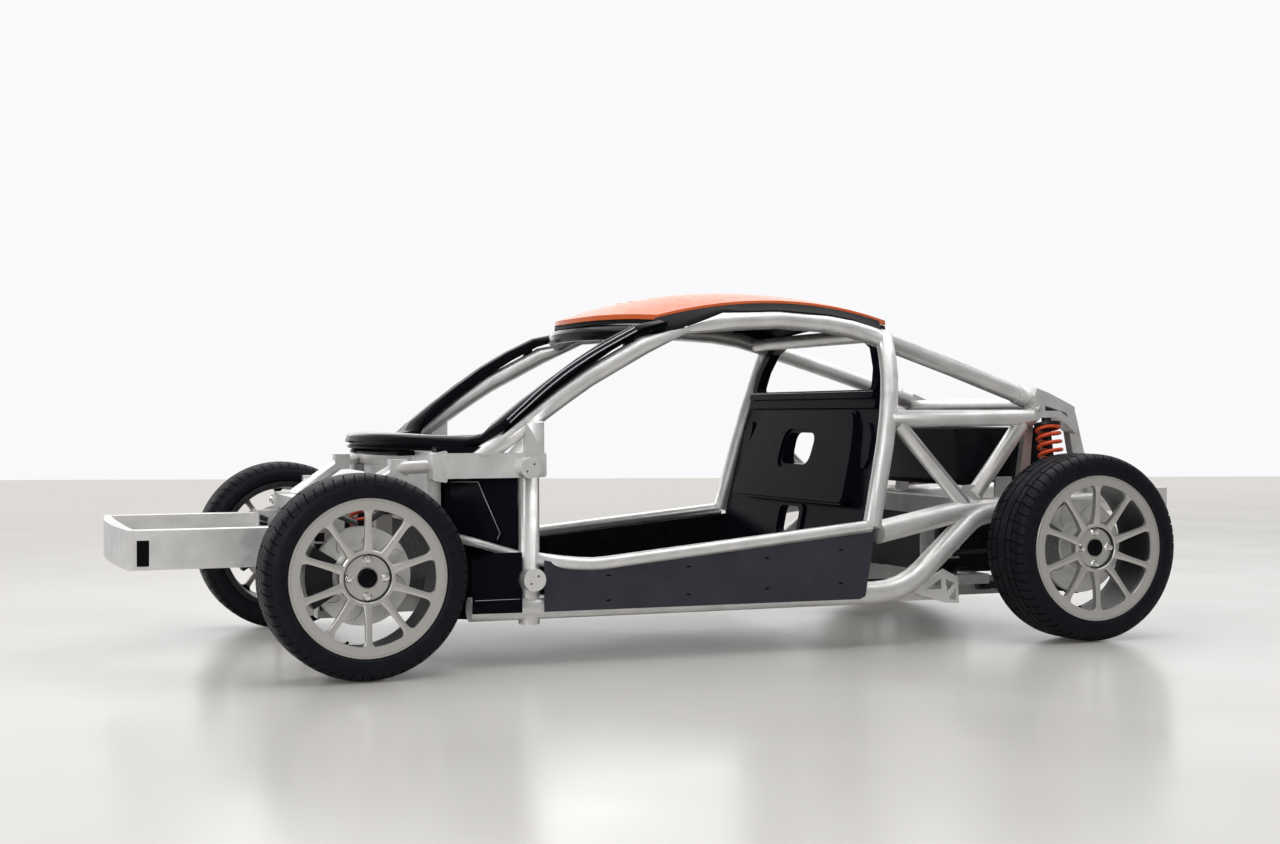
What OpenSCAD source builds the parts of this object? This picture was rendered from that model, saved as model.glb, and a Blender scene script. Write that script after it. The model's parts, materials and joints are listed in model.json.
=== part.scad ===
// Open two-seat sports car rolling chassis, side frames to wheels.
// Millimetres, +Z up, +X to the rear, +Y to the right-hand side of the car.

/* [Size] */
// Distance between the axles
wheelbase = 2490; // [2200:1:2700]
// Front wheel track between tyre centres
front_track = 1410; // [1300:1:1500]
// Rear wheel track between tyre centres
rear_track = 1396; // [1300:1:1500]
// Outer radius of a front tyre
front_tyre_r = 302; // [280:1:330]
// Outer radius of a rear tyre
rear_tyre_r = 318; // [290:1:340]
// Width of a front tyre
front_tyre_w = 208; // [180:1:230]
// Width of a rear tyre
rear_tyre_w = 225; // [190:1:250]

/* [Side frame] */
// Radius of the sill tube and the rear longitudinal
sill_r = 38; // [30:1:45]
// Height of the sill tube axis
sill_z = 178; // [150:1:220]
// Half spacing of the sill tubes
sill_y = 600; // [560:1:640]
// Radius of the roof tube
roof_tube_r = 31; // [20:1:40]
// Radius of the upper door rail
door_rail_r = 20.5; // [14:0.5:30]
// Radius of the hinge pillar
pillar_r = 33; // [25:1:40]
// Position of the hinge pillar along the car
pillar_x = 545; // [500:1:600]

/* [Door hinges] */
// Radius of an upper hinge boss
boss_r = 32.5; // [25:0.5:40]
// Pitch circle of the two bolts in a hinge boss
boss_pcd = 32; // [20:1:50]
// Radius of a hinge bolt hole
boss_hole_r = 3.5; // [2.5:0.5:6]
// Half spacing of the boss faces
boss_face_y = 690; // [660:1:710]

/* [Crash structure] */
// Width of a crash rail
rail_w = 60; // [40:1:80]
// Height of a crash rail
rail_h = 118; // [80:1:140]
// Height of the underside of the crash rails
rail_z = 318; // [280:1:360]
// Half spacing of the inner faces of the crash rails
rail_y = 398; // [340:1:420]

/* [Roof] */
// Height of the roof crown
roof_top = 1198; // [1150:1:1230]
// Thickness of the roof panel
roof_t = 4; // [3:0.5:8]
// Thickness of the black underskin
skin_t = 4; // [3:0.5:8]

/* [Wheels] */
// Number of wheel spokes
spokes = 10; // [5:1:12]
// Radius of the front rim flange
front_rim_r = 233.5; // [210:0.5:250]
// Radius of the rear rim flange
rear_rim_r = 246; // [220:0.5:260]
// Pitch circle of the wheel nuts
lug_pcd = 108; // [98:1:120]
// Radius of the front brake discs
front_disc_r = 146; // [130:1:160]
// Radius of the rear brake discs
rear_disc_r = 158; // [140:1:165]

/* [Hidden] */
x_mid = 1180;
q = 24;
fy = front_track / 2;
ry = rear_track / 2;
king_lo = [0, fy - 53, 200];
king_hi = [16, fy - 77, 440];
// point of the steering axis at a height
function king(z) = king_lo + (king_hi - king_lo) * (z - king_lo[2]) / (king_hi[2] - king_lo[2]);

// ---- helpers ----
function unit(v) = v / norm(v);
function xyz(p) = [p[0], p[1], p[2]];
// Rounds the inner corners of a path; each point may carry its bend radius as a fourth number.
function arc_at(a, p, b, r) = let (d1 = unit(p - a), d2 = unit(b - p), th = acos(min(1, d1 * d2)))
    th < 1 || r <= 0 ? [p] :
    let (l = r * tan(th / 2), s = p - d1 * l, n = unit(unit(d2 - d1) * r / cos(th / 2) + d1 * l),
        c = s + n * r, m = max(1, ceil(th / 11)))
    [for (j = [0:m]) c - r * cos(th * j / m) * n + r * sin(th * j / m) * d1];
function bend(p) = [for (i = [0:len(p) - 1]) each
    (i == 0 || i == len(p) - 1) ? [xyz(p[i])] : arc_at(xyz(p[i - 1]), xyz(p[i]), xyz(p[i + 1]), len(p[i]) > 3 ? p[i][3] : 0)];
function heading(p, i) = i == 0 ? unit(p[1] - p[0]) : i == len(p) - 1 ? unit(p[i] - p[i - 1]) :
    unit(unit(p[i] - p[i - 1]) + unit(p[i + 1] - p[i]));
function ring(c, t, r, ref, n) = let (a = unit(cross(t, ref)), b = cross(a, t))
    [for (k = [0:n - 1]) c + r * (cos(360 * k / n) * a + sin(360 * k / n) * b)];

// A closed skin through a list of rings with the same number of points each.
module loft(rings) {
    m = len(rings);
    n = len(rings[0]);
    polyhedron(points = [for (r = rings) each r], faces = concat(
        [[for (k = [n - 1:-1:0]) k]],
        [for (i = [0:m - 2]) for (k = [0:n - 1]) [i * n + k, i * n + (k + 1) % n, (i + 1) * n + (k + 1) % n]],
        [for (i = [0:m - 2]) for (k = [0:n - 1]) [i * n + k, (i + 1) * n + (k + 1) % n, (i + 1) * n + k]],
        [[for (k = [0:n - 1]) (m - 1) * n + k]]), convexity = 8);
}
// A bent tube along a path.
module tube(path, r, ref = [0, 1, 0], n = 20) {
    p = bend(path);
    loft([for (i = [0:len(p) - 1]) ring(p[i], heading(p, i), r, ref, n)]);
}
// A section carried along a path; each section point is [inward, outward].
function section(c, t, ref, sec) = let (a = unit(cross(t, ref)), b = cross(a, t)) [for (s = sec) c + s[0] * a + s[1] * b];
module aim(a, b) {
    d = b - a;
    translate(a) rotate([0, acos(d[2] / norm(d)), atan2(d[1], d[0])]) children();
}
module rod(a, b, r) { aim(a, b) cylinder(r = r, h = norm(b - a), $fn = q); }
module stick(a, b, r, n = 16) { hull() { aim(a, b) cylinder(r = r, h = 0.5, $fn = n); aim(a, b) translate([0, 0, norm(b - a) - 0.5]) cylinder(r = r, h = 0.5, $fn = n); } }
module pipe(a, b, r, ri) { aim(a, b) difference() { cylinder(r = r, h = norm(b - a), $fn = q); translate([0, 0, -1]) cylinder(r = ri, h = norm(b - a) + 2, $fn = q); } }
module block(a, b) { translate(a) cube(b - a); }
// A welded box section between two corners.
module wbox(a, b) { hull() block(a, b); }
// A flat plate in the X-Z plane with rounded corners, between y0 and y1.
module plate_xz(pts, y0, y1, r = 8) {
    hull() for (p = pts) translate([p[0], y1, p[1]]) rotate([90, 0, 0]) cylinder(r = r, h = y1 - y0, $fn = 8);
}
// A prism on an X-Z outline between y0 and y1.
module prism_xz(pts, y0, y1) { translate([0, y1, 0]) rotate([90, 0, 0]) linear_extrude(y1 - y0) polygon(pts); }
module right() { translate([-x_mid, 0, 0]) children(); }
module left() { translate([-x_mid, 0, 0]) mirror([0, 1, 0]) children(); }
module both() { right() children(); left() children(); }
module mid() { translate([-x_mid, 0, 0]) children(); }
// A curved sheet over a grid, nu by nv cells, between a top grid and a bottom grid of points.
module sheet(top, bot, nu, nv) {
    w = nv + 1;
    o = (nu + 1) * w;
    function id(i, j) = i * w + j;
    polyhedron(points = concat(top, bot), faces = concat(
        [for (i = [0:nu - 1]) for (j = [0:nv - 1]) each [[id(i, j), id(i, j + 1), id(i + 1, j + 1)], [id(i, j), id(i + 1, j + 1), id(i + 1, j)]]],
        [for (i = [0:nu - 1]) for (j = [0:nv - 1]) each [[o + id(i, j), o + id(i + 1, j + 1), o + id(i, j + 1)], [o + id(i, j), o + id(i + 1, j), o + id(i + 1, j + 1)]]],
        [for (i = [0:nu - 1]) each [[id(i, 0), id(i + 1, 0), o + id(i + 1, 0)], [id(i, 0), o + id(i + 1, 0), o + id(i, 0)],
            [id(i, nv), o + id(i + 1, nv), id(i + 1, nv)], [id(i, nv), o + id(i, nv), o + id(i + 1, nv)]]],
        [for (j = [0:nv - 1]) each [[id(0, j), o + id(0, j + 1), id(0, j + 1)], [id(0, j), o + id(0, j), o + id(0, j + 1)],
            [id(nu, j), id(nu, j + 1), o + id(nu, j + 1)], [id(nu, j), o + id(nu, j + 1), o + id(nu, j)]]]), convexity = 8);
}

// ---- side frames ----
dx = wheelbase - 2490;
fo = fy - 705;
ro = ry - 698;
rz = roof_top - 1198;
roof_path = [[440, 586, 676], [655, 573, 828, 900], [936, 540, 1010 + rz, 1400], [1235, 510, 1088 + rz, 1500], [1528, 490, 1087 + rz, 1500],
    [1722, 475, 1065 + rz, 900], [2127 + dx, 445, 936], [2428 + dx, 423, 834]];
sill_path = [[352, sill_y, sill_z], [1850 + dx, sill_y, sill_z, 300], [2165 + dx, 540, 423, 150], [2330 + dx, 505, 440]];
door_path = [[562, 607, 328], [640, 636, 316, 200], [740, 640, 307, 400], [1040, 640, 337, 900], [1712 + dx, 636, 402]];
rear_path = [[1742 + dx, 628, 380], [2115 + dx, 531, 438, 400], [2260 + dx, 513, 444, 300], [2986 + dx, 409, 462]];
hoop_path = [[1855 + dx, 470, 1035 + rz], [1836 + dx, 548, 900, 500], [1798 + dx, 596, 720, 700], [1718 + dx, 634, 398]];
nose_rail = [[530, 602, 334], [356, 598, 388, 80], [290, 500, 402, 60], [284, 446, 404]];
module frame_side() {
    // sill tube, sweeping up behind the seat, and the rear longitudinal it meets
    tube(sill_path, sill_r);
    tube(rear_path, sill_r);
    // roof tube from cowl to rear tower, and the rear hoop
    tube(roof_path, roof_tube_r);
    tube(hoop_path, 30, n = 16);
    // upper door rail, and its slimmer run ahead of the pillar
    tube(door_path, door_rail_r, n = 14);
    tube(nose_rail, 14, [0, 0, 1], n = 10);
    // hinge pillar
    rod([pillar_x, 596, 126], [pillar_x, 596, 580.5], pillar_r);
    // waist tube and V tubes
    rod([1806 + dx, 588, 757], [2432 + dx, 481, 757], 29);
    rod([1846 + dx, 580, 740], [2128 + dx, 532, 462], 25);
    rod([2170 + dx, 528, 492], [2384 + dx, 490, 735], 27.5);
    // box beam, the post on it and the bracket at its nose
    plate_xz([[280, 588], [588, 588], [588, 649], [280, 649]], 562, 620, 8);
    plate_xz([[538, 640], [582, 640], [582, 747], [538, 740]], 566, 616, 8);
    plate_xz([[243, 580], [277, 574], [277, 659], [243, 652]], 548, 612, 6);
    // gussets
    translate([dx, 0, 0]) {
        plate_xz([[1812, 735], [1850, 735], [1880, 757], [1830, 780]], 574, 588, 6);
        plate_xz([[2100, 465], [2200, 465], [2178, 520], [2122, 520]], 520, 540, 6);
        plate_xz([[2330, 740], [2426, 735], [2426, 784], [2390, 770]], 478, 490, 6);
    }
    plate_xz([[470, 640], [560, 640], [560, 720], [545, 720]], 588, 596, 4);
    plate_xz([[528, 150], [562, 150], [562, 176], [528, 176]], 566, 600, 4);
}
module frame_side_left() { color([0.66, 0.66, 0.67]) left() frame_side(); }
module frame_side_right() { color([0.66, 0.66, 0.67]) right() frame_side(); }
module frames() { right() frame_side(); left() frame_side(); }

module boss(x, z, r, y0, y1) {
    difference() {
        translate([x, y0, z]) rotate([-90, 0, 0]) cylinder(r = r, h = y1 - y0, $fn = q);
        for (k = [45, 225]) translate([x + boss_pcd / 2 * cos(k), y1 - 25, z + boss_pcd / 2 * sin(k)]) rotate([-90, 0, 0]) cylinder(r = boss_hole_r, h = 30, $fn = q);
        rod([pillar_x, 596, 60], [pillar_x, 596, 581], pillar_r + 0.05);
    }
}
module hinge_bosses() {
    // upper boss on the box beam, lower boss saddled on the pillar
    boss(pillar_x - 21, 612, boss_r, 620, boss_face_y);
    boss(pillar_x - 7, 269, boss_r + 2.5, 612, boss_face_y - 6);
}
module hinge_bosses_left() { color([0.66, 0.66, 0.67]) left() hinge_bosses(); }
module hinge_bosses_right() { color([0.66, 0.66, 0.67]) right() hinge_bosses(); }

module cross_tubes(c = 0) {
    // cowl box between the box beams and the plate below it
    wbox([250, -556, 602], [330, 556, 658]);
    wbox([255.7, -466, 430], [261.7, 466, 602]);
    // bowed header tube under the front of the roof
    tube([[1104, -517, 1048 + rz], [1100, -496, 1082 + rz, 26], [1066, 0, 1103 + rz, 1500], [1100, 496, 1082 + rz, 26], [1104, 517, 1048 + rz]], 15, [1, 0, 0], n = 12);
    // under the dash
    rod([545, -600, 560], [545, 600, 560], 22 + c);
    translate([dx, 0, 0]) {
        // hoop tube at the roof, tube at the waist
        rod([1795, -470, 1040 + rz], [1795, 470, 1040 + rz], 24 + c);
        rod([1856, -580, 757], [1856, 580, 757], 24 + c);
        // box between the rear nodes, and tower to tower
        wbox([2088, -508, 420], [2152, 508, 484]);
        rod([2474, -432, 800], [2474, 432, 800], 25 + c);
        // floor box at the back of the cabin
        wbox([1652, -575, 142], [1712, 575, 202]);
        // brackets on the longitudinals
        for (s = [-1, 1]) wbox([2272, s * 500 - 8, 470], [2336, s * 500 + 8, 552]);
    }
}
module cross_members() { color([0.66, 0.66, 0.67]) mid() cross_tubes(); }

// inner pivots of the front arms
arm_x = [-50, 135];
arm_lo = [419.3, 192];
arm_up = [415.3, 480];
module ears(x, y0, y1, z0, z1) { for (s = [-1, 1]) wbox([x + s * 27.5 - 2.5, y0, z0], [x + s * 27.5 + 2.5, y1, z1]); }
module front_half() {
    // lower longitudinal from nose to floor
    wbox([-150, 270, 150], [317.7, 330, 206]);
    for (x = arm_x) {
        // upright box, its foot and the ears of both pivots
        wbox([x - 25, 345, 148], [x + 25, 400, 508]);
        wbox([x - 20, 325, 152], [x + 20, 350, 204]);
        ears(x, 396, arm_lo[0] + 17, arm_lo[1] - 20, arm_lo[1] + 22);
        ears(x, 396, arm_up[0] + 14, arm_up[1] - 17, arm_up[1] + 17);
    }
    wbox([-30, 350, 455], [115, 395, 503]);
    // feet of the crash rail, above and below the steering rack
    wbox([-136, 345, 318], [-70, 458, 386]);
    wbox([-136, 345, 432], [-70, 400, 446]);
    wbox([-142, 340, 312], [-136, 464, 446]);
    // upper tube with its damper bracket, and the outrigger to the cowl
    rod([-35, 372, 480], [168, 437, 608], 22);
    wbox([26, 396, 516], [66, 428, 562]);
    difference() {
        rod([168, 437, 608], [262, 575, 618], 20);
        block([250, 380, 560], [300, 640, 680]);
    }
    wbox([142, 410, 582], [194, 464, 636]);
    // box leg under the cowl
    wbox([262, 420, 200], [300, 462, 602]);
    wbox([262, 325, 154], [300, 462, 204]);
}
module front_subframe() {
    color([0.66, 0.66, 0.67]) difference() {
        union() {
            both() front_half();
            mid() {
                wbox([-75, -346, 458], [-25, 346, 502]);
                wbox([-60, -272, 154], [-10, 272, 202]);
                wbox([112, -272, 154], [158, 272, 202]);
            }
        }
        frames();
    }
}

module crash_rails() {
    color([0.66, 0.66, 0.67]) both() difference() {
        block([-622, rail_y, rail_z], [-142, rail_y + rail_w, rail_z + rail_h]);
        block([-630, rail_y + 4, rail_z + 4], [-130, rail_y + rail_w - 4, rail_z + rail_h - 4]);
        block([-618, rail_y + rail_w - 10, rail_z + 11], [-582, rail_y + rail_w + 5, rail_z + rail_h - 30]);
    }
}
function bow(t, x0, dxe, w) = [x0 + dxe * t * t, w * t];
module bumper_beam() {
    // bowed channel between end blocks, open to the rear, with a row of drain holes
    e = rail_y + rail_w;
    color([0.66, 0.66, 0.67]) mid() translate([0, 0, rail_z]) difference() {
        union() {
            linear_extrude(rail_h) polygon(concat([for (t = [-10:10]) bow(t / 10, -668, 28, e)], [for (t = [10:-1:-10]) bow(t / 10, -652, 28, e)]));
            for (s = [-1, 1]) linear_extrude(rail_h) polygon([[-648, s * rail_y], [-622, s * rail_y], [-622, s * e], [-640, s * e]]);
            // top and bottom flanges
            for (z = [0, rail_h - 6]) translate([0, 0, z]) linear_extrude(6) polygon(concat([for (t = [-10:10]) bow(t / 10, -660, 26, e - 4)], [for (t = [10:-1:-10]) bow(t / 10, -630, 8, e - 4)]));
        }
        for (y = [-380, -190, 0, 190, 380]) translate([-700, y, 14]) rotate([0, 90, 0]) cylinder(r = 4, h = 90, $fn = 12);
    }
}

// ---- body panels ----
module floor_tub() {
    color([0.06, 0.06, 0.07]) mid() difference() {
        translate([0, 0, 136]) linear_extrude(464) polygon([[318, -462], [450, -548], [520, -561.7], [1640 + dx, -561.7], [1640 + dx, 561.7], [520, 561.7], [450, 548], [318, 462]]);
        translate([0, 0, 142]) linear_extrude(470) polygon([[323, -459], [452, -543], [521, -556], [1650 + dx, -556], [1650 + dx, 556], [521, 556], [452, 543], [323, 459]]);
        translate([0, 600, 0]) rotate([90, 0, 0]) linear_extrude(1200) polygon([[505, 610], [505, 530], [600, 318], [740, 295], [1040, 322], [1700 + dx, 385], [1700 + dx, 610]]);
    }
}
module keyhole() {
    rod([pillar_x - 7, 500, 269], [pillar_x - 7, 700, 269], boss_r + 9);
    block([pillar_x - 20, 600, 100], [pillar_x + 27, 700, 269]);
}
module sill_panel() {
    difference() {
        prism_xz([[pillar_x + 5, 166], [1668 + dx, 163], [1690 + dx, 172], [1726 + dx, 390], [1040, 324], [740, 295], [pillar_x + 5, 330]], sill_y + sill_r + 0.2, sill_y + sill_r + 6);
        keyhole();
        frame_side();
    }
}
module sill_panel_left() { color([0.13, 0.14, 0.15]) left() sill_panel(); }
module sill_panel_right() { color([0.13, 0.14, 0.15]) right() sill_panel(); }

module footwell_panels() {
    color([0.07, 0.07, 0.08]) both() difference() {
        union() {
            // upper panel, drawn in at the front to clear the wheel
            translate([0, 0, 372]) linear_extrude(207.7) polygon([[307, 500], [511, 594], [508, 599], [304, 505]]);
            // lower panel in the plane of the sill panel
            prism_xz([[352, 168], [pillar_x + 5, 166], [pillar_x + 5, 352], [420, 352], [352, 330]], sill_y + sill_r + 0.2, sill_y + sill_r + 6);
        }
        keyhole();
        frame_side();
    }
}

// bulkhead drawn upright in its own plane, then leaned back with the seats
bulk = [[552, 203], [556, 330], [585, 400], [585, 430], [562, 720], [512, 900], [432, 1030 + rz], [380, 1050 + rz]];
win = [[474, 856], [456, 930], [405, 1000 + rz], [352, 1022 + rz]];
function both_sides(p) = concat(p, [for (i = [len(p) - 1:-1:0]) [-p[i][0], p[i][1]]]);
module relief(h) { translate([0, 0, -h]) linear_extrude(h + 1) children(); }
module rounded(p, r) { offset(r, $fn = 16) offset(delta = -r) polygon(p); }
// the pad of the seat backs stands further forward toward its foot
module seat_pad(h) {
    intersection() {
        multmatrix([[1, 0, 0, 0], [0, 1, 0, 0], [0, 0.1, 1, -80 - h], [0, 0, 0, 1]]) linear_extrude(60) children();
        translate([-600, 200, -90]) cube([1200, 700, 100]);
    }
}
pad = [[470, 462], [462, 540], [436, 660], [404, 740], [376, 786]];
module seat_bulkhead() {
    color([0.05, 0.05, 0.06]) difference() {
        mid() multmatrix([[1, 0, 0.2123, 1722 + dx - 400 * 0.2123], [0, 1, 0, 0], [0, 0, 1, 0], [0, 0, 0, 1]]) rotate([90, 0, 90]) difference() {
            union() {
                linear_extrude(24) polygon(both_sides(bulk));
                // channel round the window, and the beam below it with its two ledges
                relief(16) rounded(both_sides([[512, 852], [498, 925], [434, 1022 + rz], [372, 1048 + rz]]), 20);
                relief(24) rounded([[-506, 828], [506, 828], [506, 850], [-506, 850]], 8);
                relief(13) rounded([[-518, 794], [518, 794], [512, 836], [-512, 836]], 8);
                // pad with a bevelled edge
                seat_pad(6) rounded(both_sides(pad), 26);
                seat_pad(14) offset(delta = -9) rounded(both_sides(pad), 26);
                // swell at each flank, and the frame of the lower hole
                for (s = [-1, 1]) relief(9) rounded([[s * 488, 560], [s * 530, 620], [s * 524, 700], [s * 466, 776], [s * 462, 700]], 18);
                relief(9) rounded([[-110, 318], [110, 318], [110, 450], [-110, 450]], 22);
            }
            // upper hole with its bevel, lower hole, window
            multmatrix([[1, 0, 0, 0], [0, 1, 0, 0], [0, 0.1, 1, -100], [0, 0, 0, 1]]) linear_extrude(14) rounded([[-132, 578], [132, 578], [132, 719], [-132, 719]], 46);
            translate([0, 0, -90]) linear_extrude(130) rounded([[-116, 592], [116, 592], [116, 705], [-116, 705]], 38);
            translate([0, 0, -30]) linear_extrude(70) rounded([[-84, 338], [84, 338], [84, 440], [-84, 440]], 26);
            translate([0, 0, -30]) linear_extrude(70) rounded(both_sides(win), 16);
        }
        frames();
    }
}

// windscreen surround: half of its run, from the middle of the cowl up the right-hand pillar
run = [[136, 0, 690], [150, 130, 690], [188, 255, 689], [248, 365, 687], [318, 460, 685], [375, 530, 684], [412, 564, 694], [456, 584, 732], [540, 582, 800],
    [632, 574, 870], [725, 565, 935], [770, 558, 962 + rz], [820, 553, 993 + rz], [918, 540, 1043 + rz], [996, 531, 1063 + rz], [1020, 520, 1064 + rz]];
function lean(i) = i < 5 ? [-0.12, 0, 1] : i < 8 ? [-0.12 - 0.11 * (i - 4), 0, 1] : [-0.6, 0, 1];
// width and depth of the moulding along its run
widths = [104, 100, 96, 92, 92, 104, 124, 118, 92, 72, 62, 60, 60, 60, 60, 60];
depths = [50, 50, 50, 48, 46, 44, 42, 40, 40, 40, 40, 40, 38, 34, 26, 22];
function wide(i) = widths[i];
function deep(i) = depths[i];
// nose, groove under it and lower lip, from the outside in
function moulding(w, d) = [[-20, -d / 2], [w - 32, -d / 2], [w - 30, 0], [w - 36, d / 2 - 5], [w / 2 - 30, d / 2], [-12, d / 2 - 1], [-22, d / 2 - 7], [-30, 2], [-28, -4],
    [-17, -7], [-17, -12], [-26, -15], [-26, -d / 2 + 3]];
function run_ring(i) = let (k = abs(i), s = sign(i), p = [run[k][0], s * run[k][1], run[k][2]],
    a = k == 15 ? k - 1 : k, b = k == 15 ? k : k + 1,
    nx = [run[b][0], (i < 0 ? -1 : 1) * run[b][1], run[b][2]], pv = k == 0 ? [run[1][0], -run[1][1], run[1][2]] : [run[k - 1][0], (i < 0 ? -1 : 1) * run[k - 1][1], run[k - 1][2]],
    t = (i < 0 ? -1 : 1) * (k == 15 ? unit(p - pv) : unit(nx - pv)))
    section(p, t, unit(lean(k)), moulding(wide(k), deep(k)));
module windscreen_surround() {
    color([0.04, 0.04, 0.045]) difference() {
        mid() {
            loft([for (i = [-15:15]) run_ring(i)]);
            // header moulding under the front of the roof
            loft([for (t = [-8:8]) let (v = t / 8, x = 866 + 134 * v * v, y = 500 * v, z = 1066 + rz - 12 * v * v)
                [[x + 24, y, z - 34], [x + 62, y, z - 12], [x + 60, y, z + 6], [x + 12, y, z + 10], [x - 6, y, z + 2], [x - 15, y, z - 12], [x - 15, y, z - 28], [x - 6, y, z - 40], [x + 8, y, z - 42]]]);
            // lower black moulding behind the wheel arch, and lugs on the tubes below
            for (s = [-1, 1]) {
                wbox([250, s * 575 - 27, 657.3], [415, s * 575 + 27, 676]);
                wbox([470, s * 578 - 12, 700], [500, s * 578 + 12, 745]);
                wbox([680, s * 566 - 12, 840], [710, s * 566 + 12, 905]);
                wbox([880, s * 545 - 12, 980 + rz], [910, s * 545 + 12, 1022 + rz]);
                wbox([985, s * 505 - 20, 1040 + rz], [1030, s * 505 + 20, 1062 + rz]);
            }
        }
        frames();
        mid() cross_tubes(0.26);
    }
}

// roof surface: u runs front to rear, v across; the underskin lies skin_gap below it
skin_gap = 15.2 + roof_t;
function roof_half(u) = 475 + 90 * u - 135 * u * u;
function roof_x(u, v) = let (f = 863 + 157 * v * v, r = 1935 + dx - 55 * v * v) f + u * (r - f);
function roof_c(x) = roof_top - (x < 1380 ? 3.59e-4 : 2.4e-4) * pow(x - 1380, 2);
function roof_edge(x) = 1146 + rz + 0.0797 * (x - 1309) - 2.99e-4 * pow(x - 1309, 2);
function roof_pt(u, v) = let (x = roof_x(u, v)) [x, v * roof_half(u), roof_c(x) - (roof_c(x) - roof_edge(x)) * pow(abs(v), 2.3)];
// a panel of the roof with a turned-down edge; in is 0 on the outside and 1 on the inside
function pan_pt(i, j, nu, nv, drop, lip, t, in) =
    let (u = min(1, max(0, (i - 1) / nu)), v = 2 * min(1, max(0, (j - 1) / nv)) - 1,
        ei = i == 0 ? -1 : i == nu + 2 ? 1 : 0, ej = j == 0 ? -1 : j == nv + 2 ? 1 : 0,
        si = i <= 1 ? 1 : i >= nu + 1 ? -1 : 0, sj = j <= 1 ? 1 : j >= nv + 1 ? -1 : 0)
    roof_pt(u, v) + [1.5 * ei + in * t * si, 1.5 * ej + in * t * sj, -drop - (ei != 0 || ej != 0 ? lip : in * t)];
module pan(nu, nv, drop, lip, t) {
    sheet([for (i = [0:nu + 2]) for (j = [0:nv + 2]) pan_pt(i, j, nu, nv, drop, lip, t, 0)],
        [for (i = [0:nu + 2]) for (j = [0:nv + 2]) pan_pt(i, j, nu, nv, drop, lip, t, 1)], nu + 2, nv + 2);
}
module roof_panel() {
    color([0.85, 0.3, 0.05]) mid() {
        pan(12, 12, 0, skin_gap - 3, roof_t);
        // bonding pads to the underskin
        for (s = [-1, 1]) for (x = [1080, 1280, 1480, 1680]) wbox([x, s * 60 - 14, max(roof_c(x), roof_c(x + 14)) - skin_gap + 0.3], [x + 14, s * 60 + 14, roof_c(x + 14) - 2.5]);
    }
}
module roof_underskin() {
    color([0.04, 0.04, 0.045]) difference() {
        mid() {
            pan(12, 12, skin_gap, 4 + 2 * skin_t, skin_t);
            // pads on the roof tubes
            for (s = [-1, 1]) for (x = [1180, 1440, 1700]) let (y = s * (roof_half((x - 1000) / 860) - 8)) wbox([x, y - 9, roof_edge(x) - 46], [x + 40, y + 9, min(roof_edge(x), roof_edge(x + 40)) - 20]);
        }
        frames();
        mid() cross_tubes(0.26);
    }
}

// ---- rear structure: drawn for the standard wheelbase, then moved with the rear axle ----
module rear_mid() { translate([dx - x_mid, 0, 0]) children(); }
module rear_tub() {
    color([0.05, 0.05, 0.06]) rear_mid() difference() {
        translate([0, 414.7, 0]) rotate([90, 0, 0]) linear_extrude(829.4) polygon([[2170, 540], [2200, 520], [2560, 548], [2560, 722], [2160, 722]]);
        translate([0, 408, 0]) rotate([90, 0, 0]) linear_extrude(816) polygon([[2176, 546], [2202, 527], [2554, 554], [2554, 740], [2166, 740]]);
    }
}
module transaxle() {
    color([0.07, 0.07, 0.075]) rear_mid() {
        block([2190, -260, 200], [2540, 260, 450]);
        translate([2490, -290, 318]) rotate([-90, 0, 0]) cylinder(r = 90, h = 580, $fn = q);
        for (s = [-1, 1]) for (x = [2230, 2480]) block([x, s * 290 - 40, 190.3], [x + 50, s * 290 + 40, 224]);
    }
}
module driveshafts() {
    color([0.3, 0.3, 0.31]) both() translate([dx, 0, 0]) {
        rod([2490, 290.3, 318], [2490, 600 + ro, 318], 15);
        rod([2490, 290.3, 318], [2490, 350, 318], 42);
        rod([2490, 535 + ro, 318], [2490, 584 + ro, 318], 34);
        rod([2490, 584 + ro, 318], [2490, 622 + ro, 318], 22);
    }
}
module tower() {
    difference() {
        union() {
            prism_xz([[2436, 836], [2444, 862], [2493, 845], [2579, 806], [2600, 795], [2606, 700], [2562, 738], [2534, 758], [2462, 758], [2436, 735]], 430, 500);
            prism_xz([[2590, 800], [2600, 700], [2612, 637], [2690, 462], [2756, 462], [2660, 637], [2626, 770], [2608, 796]], 430, 468);
            prism_xz([[2436, 740], [2466, 756], [2440, 470], [2396, 470]], 415, 445);
            // collar round the end of the roof tube
            rod([2404, 425, 842], [2447, 421.5, 828], 35);
        }
        prism_xz([[2478, 800], [2566, 774], [2572, 758], [2556, 770], [2536, 782], [2478, 782]], 440, 510);
    }
}
module shock_towers() { color([0.62, 0.62, 0.63]) difference() { both() translate([dx, 0, 0]) tower(); frames(); mid() cross_tubes(0.26); } }
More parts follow.
